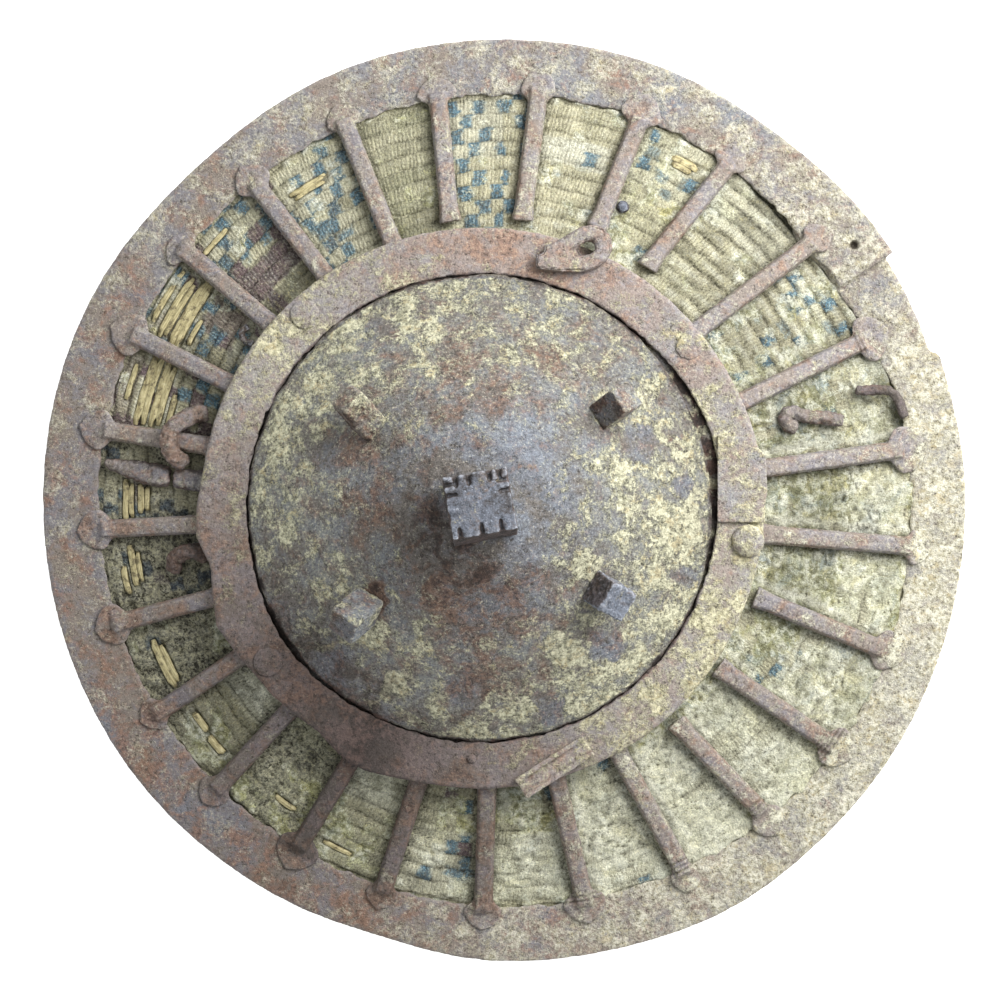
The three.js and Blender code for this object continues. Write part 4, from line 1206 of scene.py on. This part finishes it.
def beside_bars(angle, radius):
    """Distance in mm from the middle of the nearest bar, positive clockwise of it."""
    nearest = np.full_like(radius, 99.0)
    for heading, slope, offset, start in bar_lines:
        middle = heading + offset + slope * np.maximum(radius, start)
        away = ((np.radians(angle) - middle + math.pi) % (2 * math.pi) - math.pi) * radius
        away = np.where(radius < start - 1, 99, away)
        nearest = np.where(np.abs(away) < np.abs(nearest), away, nearest)
    return nearest


print("bars:", len(bar_lines))


# %% Closed ring of columns and rows
# A torus has at most 256 columns, so the edges that run around it are cut in three.
bpy.ops.object.select_all(action="DESELECT")
bpy.ops.mesh.primitive_torus_add(
    major_segments=TORUS_COLUMNS, minor_segments=row_count, major_radius=TORUS_RADIUS, minor_radius=1,
    generate_uvs=False,
)
disc = bpy.context.object
disc.name = "cane_disc_coiled"
x, y, _ = read_points(disc).T
turn = np.arctan2(y, x)
ends = np.empty(len(disc.data.edges) * 2, dtype=int)
disc.data.edges.foreach_get("vertices", ends)
first, second = ends.reshape(-1, 2).T
runs_around = np.abs(np.sin(turn[first] - turn[second])) > 1e-4
bpy.ops.object.mode_set(mode="EDIT")
bpy.ops.mesh.select_mode(type="EDGE")
bpy.ops.mesh.select_all(action="DESELECT")
bpy.ops.object.mode_set(mode="OBJECT")
disc.data.edges.foreach_set("select", runs_around)
bpy.ops.object.mode_set(mode="EDIT")
bpy.ops.mesh.subdivide(number_cuts=CUTS)
bpy.ops.mesh.select_mode(type="VERT")
bpy.ops.object.mode_set(mode="OBJECT")
print("edges cut:", int(runs_around.sum()), "disc faces:", len(disc.data.polygons))

# %% Where every point of the disc lies
points = read_points(disc)
angle = clock_angle(points[:, 0], points[:, 1])
section_turn = np.arctan2(points[:, 2], np.hypot(points[:, 0], points[:, 1]) - TORUS_RADIUS) % (2 * math.pi)
row = np.rint(section_turn / (2 * math.pi) * row_count).astype(int) % row_count
column = np.rint(angle / 360 * COLUMNS).astype(int) % COLUMNS
section_r, section_z = disc_section(np.arange(COLUMNS) * 360 / COLUMNS)
radius, height = section_r[row, column], section_z[row, column]
on_coils = np.isnan(height)
x, y = radius * np.sin(np.radians(angle)), radius * np.cos(np.radians(angle))
around = angle * MM_PER_DEGREE
crust, dark, olive, blue_chance, maroon_chance, banding = panel_values(angle)
print("points on the coils:", int(on_coils.sum()), "of", len(points))

# %% Coils
COIL_DEPTH = 1.45
wobble = 0.35 * lumps(around, radius * 0.4, 9, 21) + 0.4 * lumps(around, radius, 3.2, 59)
coil_place = (FIRST_VALLEY - radius + wobble) / COIL_PITCH
coil = np.floor(coil_place)
across = 2 * (coil_place - coil) - 1
coil_height = 0.25 * lumps(around, coil * 7.3, 6, 27)
bed = splint_bed(angle, radius)
print("coils:", int(coil[on_coils].max() - coil[on_coils].min()) + 1)

# %% Crust, rot and cracks
crust_here = crust + 0.45 * lumps(x, y, 9, 22) + 0.3 * lumps(x, y, 4, 23)
crust_here = np.clip(np.maximum(crust_here, place_strength("crust", angle, radius)), 0, 1)
crust_lumps = (0.15 + 0.85 * crust_here) * (
    0.7 * lumps(x, y, 7.5, 37) + 0.7 * lumps(x, y, 3.2, 25) + 0.6 * lumps(x, y, 1.6, 26)
)
left_half = ramp(angle, 178, 208)
rotten = ramp(dark + 0.12 * lumps(x, y, 8, 46), 0.02, 0.2) * (1 - 0.5 * crust_here) * left_half
crust_lumps = crust_lumps + rotten * (1.0 * lumps(x, y, 3.6, 47) + 0.8 * lumps(x, y, 1.7, 48) - 0.4)
crack_line = np.abs(lumps(x, y, 7, 38) + 0.4 * lumps(x, y, 2.2, 39))
crack = (1 - ramp(crack_line, 0.02, 0.11)) * ramp(lumps(x, y, 10, 40), -0.15, 0.35)
crack = crack * ramp(crust_here, 0.3, 0.8)
crust_lumps = crust_lumps - 0.9 * crack
print("share under thick crust:", round(float((crust_here > 0.6)[on_coils].mean()), 2))

# %% Relief of the coils
depth = (1 - np.sqrt(np.clip(1 - across**2, 0, 1))) * COIL_DEPTH
depth = depth * (1 - 0.75 * crust_here) * (1 - 0.6 * rotten)
worn = 0.6 * ramp(lumps(x, y, 5, 24), 0.35, 0.75) * (1 - crust_here)
relief = cane_top(radius) + 0.4 - depth - worn + crust_lumps + coil_height - 1.5 * bed
print("relief, mm:", round(float(np.ptp((relief - cane_top(radius))[on_coils])), 1))

# %% Crust that climbs to the rim
BANK_HEIGHT = 7.6
UNDER_RIM_HEIGHT = 4.9
rim_edge = shaped(angle, RIM_INNER_RADIUS, RIM_INNER_SHAPE) - 0.5
bank = np.clip(crust_here * 1.5 - 0.4, 0, 1) * ramp(radius, rim_edge - 9, rim_edge - 1)
relief = relief * (1 - bank) + (BANK_HEIGHT + 0.7 * lumps(x, y, 2.6, 33)) * bank
low_right = ramp(angle, 60, 80) * (1 - ramp(angle, 175, 190))
thinly = 1.6 * ramp(lumps(angle * 2.7, 0 * angle, 6, 36), -0.5, 0.3)
thickly = low_right * (1.7 + 1.3 * lumps(angle * 2.7, 0 * angle, 3, 58))
overgrown = bank * np.maximum(thinly, thickly)
under_rim = ramp(radius, rim_edge - 0.9 + overgrown, rim_edge + 0.2 + overgrown)
relief = relief * (1 - under_rim) + UNDER_RIM_HEIGHT * under_rim
height = np.where(on_coils, relief, height)
print("crust reaches over the rim's edge by, mm:", round(float(overgrown.max()), 1))

# %% Hollows, and the finished shape
grid = np.zeros((row_count, COLUMNS))
grid[row, column] = np.where(on_coils, relief, 0)
smooth_grid = grid
for axis in (0, 1):
    smooth_grid = sum(np.roll(smooth_grid, shift, axis) for shift in range(-2, 3)) / 5
hollow = (smooth_grid - grid)[row, column]
inside = on_coils & (row > len(FLANGE_ROWS) + 2) & (row < len(FLANGE_ROWS) + COILS_END)
hollow = np.where(inside, hollow, 0) * (1 - bank * low_right)
is_top = (row > 0) & (row < len(FLANGE_ROWS) + COIL_ROWS + HUB_ROWS)
height = height - np.where(is_top, lap_dip(angle, radius), 0)
write_points_mm(disc, x, y, height)
print("disc vertices:", len(disc.data.vertices))

# %% [markdown]
# ## The coiled cane: masks
# The finish needs to know where each dye, stain and crust lies, and where shade and highlights are painted.
# As on the iron, that is written onto the vertices: blue, maroon and olive as one attribute, painted shade,
# darkness and crust as a second, and pale places with painted highlights, bare and rotten places as a third.

# %% Blocks of dyed thread
BLOCK_WIDTH = 5.1
MAX_COILS, MAX_BLOCKS = 40, 220
OFF_CHEQUER = 0.85
chance = np.random.default_rng(5).random((MAX_COILS, MAX_BLOCKS))
chance_2 = np.random.default_rng(6).random((MAX_COILS, MAX_BLOCKS))
coil_number = np.clip(coil + 5, 0, MAX_COILS - 1).astype(int)
coil_radius = FIRST_VALLEY - (coil + 0.5) * COIL_PITCH
panel = panel_number(angle)
from_bar = np.radians((angle - panel_starts[panel]) % 360) * coil_radius
block_place = from_bar / BLOCK_WIDTH + 0.2 * lumps(angle * 3, radius, 1.5, 34)
block_place = block_place + 0.3 * lumps(angle, coil * 5, 9, 43)
block = (np.floor(block_place) + 9 * panel).astype(int) % MAX_BLOCKS
in_block = ramp(0.5 - np.abs(block_place - np.floor(block_place) - 0.5), 0.0, 0.14)
on_chequer = (np.floor(block_place) + coil_number) % 2 == 0
block_draw = chance[coil_number, block] + np.where(on_chequer, 0, OFF_CHEQUER)
blue = (block_draw < blue_chance) * in_block * (1 - place_strength("plain", angle, radius))
maroon = (chance_2[coil_number, block] < maroon_chance) * (1 - blue)
blue = np.maximum(blue, place_strength("blue", angle, radius))
maroon = np.maximum(maroon, place_strength("maroon", angle, radius) * (1 - 0.6 * blue))
print("share of blue blocks:", round(float(blue[on_coils].mean()), 2))

# %% Olive and dark stains
band = banding * (coil_number % 2)
olive_here = np.clip(olive + 0.5 * band + 0.3 * lumps(x, y, 12, 28), 0, 1)
dark_here = dark + 0.25 * band + 0.35 * lumps(x, y, 8, 29) * (dark > 0.05) + 0.2 * lumps(x, y, 3, 35)
dark_here = np.clip(np.maximum(dark_here, place_strength("dark", angle, radius)), 0, 1)
print("mean darkness:", round(float(dark_here[on_coils].mean()), 2))

# %% Painted shade in the valleys and along the bars
ridged = ramp(angle + 1.5 * lumps(x, y, 6, 62), 32, 35) * (1 - ramp(angle, 62, 67))
tight = ramp(angle, 300, 306) + 1 - ramp(angle, 29, 34)
# painted shade between the coils and in hollows of the relief
valley_shade = ramp(np.abs(across), 0.7 - 0.4 * ridged, 1.0) * (1 - 0.85 * crust_here) * (1 - 0.75 * rotten)
valley_shade = np.maximum((0.9 - 0.35 * tight) * valley_shade, (1 - 0.4 * tight) * ramp(hollow, 0.12, 0.55))
# painted shade in the splints' beds and in the cracks
valley_shade = np.maximum.reduce([valley_shade, bed, crack])
beside = beside_bars(angle, radius)
# painted shade beside the bars, wider on their side away from the light
shaded_side = np.where(beside > 0, 1.3, -0.9) * low_right
along_bar = 1 - ramp(np.abs(beside) - shaded_side + 0.6 * lumps(x, y, 2.5, 44), 4.0, 6.2)
valley_shade = np.maximum(valley_shade, (0.7 + 0.15 * low_right) * along_bar)
print("mean dirt:", round(float(valley_shade[on_coils].mean()), 2))

# %% Pale places and painted highlights
# painted highlight: a lit strip beside each bar, on its side towards the light
lit_side = np.exp(-(((-beside - 6.2 + 0.9 * lumps(x, y, 4, 45)) / 1.5) ** 2)) * crust_here
# painted highlight on the crests of the ridged coils
ridge = ridged * (1 - ramp(np.abs(across + 0.1), 0.15, 0.55)) * ramp(lumps(x, y, 3.5, 63), -0.5, 0.2)
pale_and_lit = np.maximum(place_strength("pale_and_lit", angle, radius), 0.95 * lit_side * low_right)
# painted highlight on the raised points of the relief
pale_and_lit = np.maximum.reduce([pale_and_lit, 0.8 * ramp(-hollow, 0.12, 0.5), 0.75 * ridge])
print("mean paleness:", round(float(pale_and_lit[on_coils].mean()), 2))

# %% Write the masks
keep = on_coils.astype(float)
write_colours(disc, "dyes", blue * keep, maroon * keep, olive_here)
crust_seen = crust_here * np.maximum(keep, low_right * is_top)
write_colours(disc, "state", valley_shade * keep * (1 - 0.45 * bed), dark_here, crust_seen)
write_colours(disc, "age", pale_and_lit * keep, bed * keep, rotten * keep)
print("masks on the disc:", [attribute.name for attribute in disc.data.color_attributes])

# %% [markdown]
# ## Dyed thread over cane
# The thread is cotton or silk, wound tightly, once cream, blue and maroon, and now yellowed. Thread ribs are
# 1.5 mm apart. They run across each coil, so their count differs from coil to coil: the angle around the
# disc, times the number of threads that fit around that coil, gives their phase. They are too fine for the
# mesh, so they are drawn as bump and as a slight painted shade between threads, and each thread has its own
# tone.

# %% Thread ribs
THREAD_PITCH = 1.5
THREAD_SLANT = 3.4


def polar_place(tree, place):
    """The angle around the shield in radians, and the distance from its centre in metres."""
    xyz = add_node(tree, "SeparateXYZ", Vector=place).outputs
    turn = add_node(tree, "Math", {"operation": "ARCTAN2"}, i0=xyz["X"], i1=xyz["Y"]).outputs[0]
    flat = add_node(tree, "CombineXYZ", X=xyz["X"], Y=xyz["Y"]).outputs[0]
    return turn, add_node(tree, "VectorMath", {"operation": "LENGTH"}, i0=flat).outputs["Value"]


def thread_ribs(tree, place):
    """Height of the thread ribs from 0 to 1, and a random shade for each thread."""
    turn, radius = polar_place(tree, place)
    inwards = add_node(tree, "Math", {"operation": "SUBTRACT"}, i0=FIRST_VALLEY * MM, i1=radius)
    coils_in = add_node(tree, "Math", {"operation": "DIVIDE"}, i0=inwards.outputs[0], i1=COIL_PITCH * MM)
    coils_in = coils_in.outputs[0]
    coil = add_node(tree, "Math", {"operation": "FLOOR"}, i0=coils_in).outputs[0]
    in_coil = add_node(tree, "Math", {"operation": "SUBTRACT"}, i0=coils_in, i1=coil).outputs[0]
    coil_radius = add_node(
        tree, "Math", {"operation": "SUBTRACT"},
        i0=FIRST_VALLEY - COIL_PITCH / 2, i1=add_up(tree, (coil, COIL_PITCH)),
    )
    threads = add_up(tree, (coil_radius.outputs[0], 2 * math.pi / THREAD_PITCH))
    threads = add_node(tree, "Math", {"operation": "ROUND"}, i0=threads).outputs[0]
    slow, quick = make_noises(tree, place, [(0, 3.2, 2, 0.6, 0), (0, 1.0, 2, 0.6, 0)])
    jitter = add_up(tree, (slow, 6.0), (quick, 4.5))
    phase = add_up(tree, (turn, threads), jitter, (in_coil, THREAD_SLANT))
    wave = add_node(tree, "Math", {"operation": "SINE"}, i0=phase).outputs[0]
    rib = add_up(tree, (add_up(tree, wave, 1.0), 0.5))
    number = add_node(tree, "Math", {"operation": "DIVIDE"}, i0=phase, i1=2 * math.pi).outputs[0]
    number = add_node(tree, "Math", {"operation": "FLOOR"}, i0=number).outputs[0]
    thread = add_node(tree, "CombineXYZ", X=number, Y=coil).outputs[0]
    shade = add_node(tree, "TexWhiteNoise", {"noise_dimensions": "2D"}, Vector=thread).outputs["Value"]
    return rib, shade


# %% [markdown]
# The layers go on as they did in life: dyed thread, its fading and fraying, the dark stains, the rotten and
# matted thread at the lower left, and the chalky crust with its own stains and pits over all of it. Pale
# places are partly painted highlights. Painted shade in the hollows, and the dark of torn places, go on
# last, over everything.

# %% Thread-wrapped cane material


def make_wrapped_cane():
    """Dyed thread, wound tightly and now faded, frayed, stained and crusted: matt, with fine ribs."""
    material, tree = new_material("thread_wrapped_cane")
    place = add_node(tree, "TexCoord").outputs["Object"]
    rib, shade = thread_ribs(tree, place)
    blue, maroon, olive = read_masks(tree, "dyes")
    valley_shade, dark, crust = read_masks(tree, "state")
    pale_and_lit, bed, rotten = read_masks(tree, "age")
    patch, grain, fray, fine, rot, stain = make_noises(tree, place, [
        (0, 7, 6, 0.62, 0), (0, 1.8, 6, 0.72, 0), (211, 1.0, 4, 0.7, 0), (0, 0.6, 3, 0.75, 0),
        (59, 3.6, 6, 0.74, 0.8), (97, 10, 5, 0.65, 0.8),
    ])
    turn, radius = polar_place(tree, place)
    hairs = add_node(tree, "CombineXYZ", X=add_up(tree, (turn, 0.13)), Y=add_up(tree, (radius, 0.3)))
    hair = make_noises(tree, hairs.outputs[0], [(0, 0.55, 3, 0.7, 0.6)])[0]

    covered = bed
    for cover in (crust, dark, rotten):
        covered = add_node(tree, "Math", {"operation": "MAXIMUM"}, i0=covered, i1=cover).outputs[0]
    clamped = {"operation": "SUBTRACT", "use_clamp": True}
    ribs_show = add_node(tree, "Math", clamped, i0=1.0, i1=covered).outputs[0]
    between = add_up(tree, (mask(tree, [rib], 0.5, 0.0), ribs_show))
    dusty = add_node(tree, "Math", {"operation": "MAXIMUM"}, i0=dark, i1=0.25).outputs[0]
    matted = add_up(tree, (rot, 0.6), (fray, 0.4))
    dye = lay_over(tree, "#28546f", (mask(tree, [fray], 0.4, 0.62), "#6397ad"))
    felt = lay_over(tree, "#64625c", (mask(tree, [(grain, 0.6), (fray, 0.4)], 0.44, 0.57), "#aca890"))
    thread = lay_over(
        tree, "#d3ccab",
        (mask(tree, [patch], 0.38, 0.62), "#b9b393"),
        # pale places: bleached thread, and painted highlights
        (pale_and_lit, "#dfdcc6"),
        (olive, "#a2a081"),
        (add_up(tree, (maroon, 0.85)), "#694e5e"),
        (add_up(tree, (blue, mask(tree, [fray], 0.36, 0.5, 0.45, 0.95))), dye),
        (add_up(tree, (shade, 0.25)), "#5e5a4c"),
        (mask(tree, [fray], 0.5, 0.66, 0.0, 0.5), "#cdc9b2"),
        # dark stains, with the painted shade strips along the rim's edge
        (add_up(tree, (dark, 0.85)), "#2b2824"),
        (add_up(tree, (mask(tree, [grain], 0.54, 0.62), dusty)), "#9c9268"),
        (add_up(tree, (rotten, 0.6)), felt),
        (add_up(tree, (mask(tree, [matted], 0.53, 0.6, 0.0, 0.8), rotten)), "#bab493"),
        (add_up(tree, (add_up(tree, (blue, rotten)), 0.6)), "#333b49"),
        (add_up(tree, (mask(tree, [matted], 0.47, 0.41, 0.0, 0.85), rotten)), "#1f1d1b"),
        # painted shade between the thread ribs
        (add_up(tree, (between, 0.3)), "#37332a"),
    )
    crust_colour = lay_over(
        tree, "#97976f",
        (mask(tree, [(grain, 0.35), (patch, 0.65)], 0.41, 0.57), "#deddc8"),
        (mask(tree, [stain], 0.53, 0.62, 0.0, 0.65), "#86959b"),
        (mask(tree, [stain], 0.47, 0.38, 0.0, 0.7), "#c8bd80"),
        (olive, "#b1ae70"),
        (mask(tree, [rot], 0.48, 0.44, 0.0, 0.75), "#757249"),
        (mask(tree, [rot], 0.55, 0.59, 0.0, 0.6), "#e6e4d0"),
        # painted highlights on the crust as well
        (add_up(tree, (pale_and_lit, 0.8)), "#e6e3d0"),
        (add_up(tree, (dark, 0.75)), "#5a5c50"),
        (mask(tree, [(grain, 0.65), (fray, 0.35)], 0.435, 0.395, 0.0, 0.8), "#5f5c43"),
    )
    crust_mask = mask(tree, [(patch, 0.35), (grain, 0.3), (fine, 0.2), (crust, 0.36)], 0.59, 0.67)
    # painted shade in the valleys, beds, cracks and beside the bars
    hollow = add_up(tree, (valley_shade, mask(tree, [fray], 0.42, 0.58, 1.0, 0.35)))
    unfilled = add_node(tree, "Math", {"operation": "SUBTRACT"}, i0=0.85, i1=add_up(tree, (crust_mask, 0.2)))
    hollow = add_up(tree, (hollow, unfilled.outputs[0]))
    uncrusted = add_node(tree, "Math", {"operation": "SUBTRACT"}, i0=1.0, i1=crust_mask).outputs[0]
    torn = add_up(tree, (mask(tree, [fray], 0.42, 0.34, 0.0, 0.7), uncrusted))
    contrast = mask(tree, [(hair, 0.25), (grain, 0.25), (fine, 0.5)], 0.35, 0.65, 0.58, 1.40)
    base = lay_over(
        tree, thread,
        (add_up(tree, (crust_mask, 0.88)), crust_colour),
        (hollow, "#2e2a22"),
        (torn, "#3b372d"),
        (1.0, contrast, "MULTIPLY"),
    )
    ribs = add_up(tree, (rib, ribs_show))
    relief = add_up(tree, (ribs, 0.3), (grain, 0.8), (fray, 0.7), (fine, 0.6), (hair, 0.25))
    finish_material(tree, base, relief, 0.95, 1.1, 0.92, 0.2)
    return material


wrapped_cane = make_wrapped_cane()
dress(disc, wrapped_cane, "coiled_cane", "wicker_body")
print("cane finish nodes:", len(wrapped_cane.node_tree.nodes))

# %% [markdown]
# ## Bare splints of cane
# A splint is a flat strip split from a cane, about 2 mm wide, straw-coloured and streaked along its length.
# One strip is modelled from a grid of short lengths with a wall under it. Every splint is a copy of it, bent
# along its own coil, a little uneven in width, and drawn to a broken point at its ends.

# %% One splint
SPLINT_LENGTHS, SPLINT_STRIPS = 26, 4
bpy.ops.object.select_all(action="DESELECT")
bpy.ops.mesh.primitive_grid_add(x_subdivisions=SPLINT_LENGTHS, y_subdivisions=SPLINT_STRIPS, size=1)
strip = bpy.context.object
wall = strip.modifiers.new("wall", "SOLIDIFY")
wall.thickness = 1
wall.offset = -1
bpy.ops.object.modifier_apply(modifier="wall")
strip_points = read_points(strip)
print("one splint, faces:", len(strip.data.polygons))

# %% All the splints
SPLINT_THICKNESS = 1.5


def bent_splint(number, a0, a1, r, width):
    """A copy of the strip, bent along a coil between two angles."""
    splint = bpy.data.objects.new("splint_%02d" % number, strip.data.copy())
    bpy.context.scene.collection.objects.link(splint)
    along, side, down = strip_points.T
    turn = (a0 + a1) / 2 + along * (a1 - a0)
    uneven = 0.16 * lumps(turn * 2.4, side + 9.7 * number, 3.5, 41)
    point = 1 - 0.6 * ramp(np.abs(along) + 0.1 * side * (-1) ** number, 0.4, 0.52)
    out = r + side * width * 1.12 * point + uneven
    crown = 0.3 * (1 - (2 * side) ** 2) + 0.2 * lumps(turn * 2.4, out, 1.6, 42)
    sink = 0.8 * ramp(np.abs(along), 0.4, 0.5)
    up = cane_top(out) + 0.15 + crown - sink + np.clip(down, -1, 0) * SPLINT_THICKNESS
    write_points_mm(splint, out * np.sin(np.radians(turn)), out * np.cos(np.radians(turn)), up)
    return splint


splints = [bent_splint(number, *values) for number, values in enumerate(SPLINTS)]
bpy.data.objects.remove(strip)
bpy.ops.object.select_all(action="DESELECT")
for splint in splints:
    splint.select_set(True)
bpy.context.view_layer.objects.active = splints[0]
bpy.ops.object.join()
splints = bpy.context.object
splints.name = "bare_cane_splints"
print("splint faces:", len(splints.data.polygons))

# %% [markdown]
# ## Split cane: the finish
# Cane split by hand is straw-coloured and streaked along its length, with dirt in the streaks. The skin has
# some gloss left, so it is less rough than the thread.

# %% Split cane material


def make_split_cane():
    """Split cane: straw-coloured, streaked along its length, with dirt in the streaks."""
    material, tree = new_material("split_cane")
    place = add_node(tree, "TexCoord").outputs["Object"]
    turn, radius = polar_place(tree, place)
    along = add_node(tree, "CombineXYZ", X=radius, Y=add_up(tree, (turn, 0.012))).outputs[0]
    streak = make_noises(tree, along, [(0, 0.45, 4, 0.65, 0)])[0]
    dirt_and_shade = make_noises(tree, place, [(0, 2.4, 5, 0.7, 0)])[0]
    base = lay_over(
        tree, "#94875f",
        (mask(tree, [streak], 0.36, 0.62), "#c4b88c"),
        (mask(tree, [dirt_and_shade], 0.5, 0.36, 0.0, 0.75), "#4b4030"),
        (mask(tree, [dirt_and_shade], 0.56, 0.7, 0.0, 0.5), "#d9cfa8"),
    )
    finish_material(tree, base, add_up(tree, (streak, 0.7), (dirt_and_shade, 0.3)), 0.6, 0.4, 0.65, 0.35)
    return material


splints.data.materials.clear()
splints.data.materials.append(make_split_cane())
select_only(splints)
bpy.ops.object.shade_smooth_by_angle(angle=math.radians(50))
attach(splints, "root")
print("splints wear", splints.data.materials[0].name)

# %% [markdown]
# ## Table, light and camera
# The shield lies on a plain white table, which glows a little so that it stays white in soft light. The
# light is a soft window from the upper right, close enough that the right side is much brighter than the
# lower left. The camera looks straight down from a metre and a bit, as a person with a camera on a stand
# would.

# %% Table
bpy.ops.object.select_all(action="DESELECT")
bpy.ops.mesh.primitive_plane_add(size=6, location=(0, 0, 0))
table = bpy.context.object
table.name = "table"
paper, tree = new_material("white_table")
surface = add_node(
    tree, "BsdfPrincipled", Base_Color=colour("#fbfbfa"), Roughness=0.9, Specular_IOR_Level=0.1,
    Emission_Color=(1, 1, 1, 1), Emission_Strength=0.8,
)
add_node(tree, "OutputMaterial", Surface=surface.outputs[0])
table.data.materials.append(paper)
print("table stands at height", table.location.z)

# %% Light
window = bpy.data.lights.new("window", "AREA")
window.size = 0.5
window.energy = 9.9
window.color = (0.99, 1.0, 1.01)
light = bpy.data.objects.new("window", window)
bpy.context.scene.collection.objects.link(light)
light.location = (0.42, 0.35, 0.5)
light.rotation_euler = (-light.location).to_track_quat("-Z", "Y").to_euler()
print("window at, m:", tuple(round(side, 2) for side in light.location))

# %% Room
world = bpy.data.worlds.new("room")
world.use_nodes = True
background = world.node_tree.nodes["Background"]
background.inputs["Color"].default_value = (0.93, 0.97, 1.0, 1)
background.inputs["Strength"].default_value = 0.64
bpy.context.scene.world = world
bpy.context.scene.view_settings.view_transform = "Standard"
print("room light:", round(background.inputs["Strength"].default_value, 2))

# %% Camera
CAMERA_HEIGHT = 1.1
camera = bpy.data.objects.new("camera", bpy.data.cameras.new("camera"))
bpy.context.scene.collection.objects.link(camera)
camera.location = (-1.67 * MM, 1.33 * MM, CAMERA_HEIGHT)
camera.data.sensor_width = 36
camera.data.lens = 103.75
bpy.context.scene.camera = camera
print("camera height, m:", CAMERA_HEIGHT, "lens, mm:", camera.data.lens)
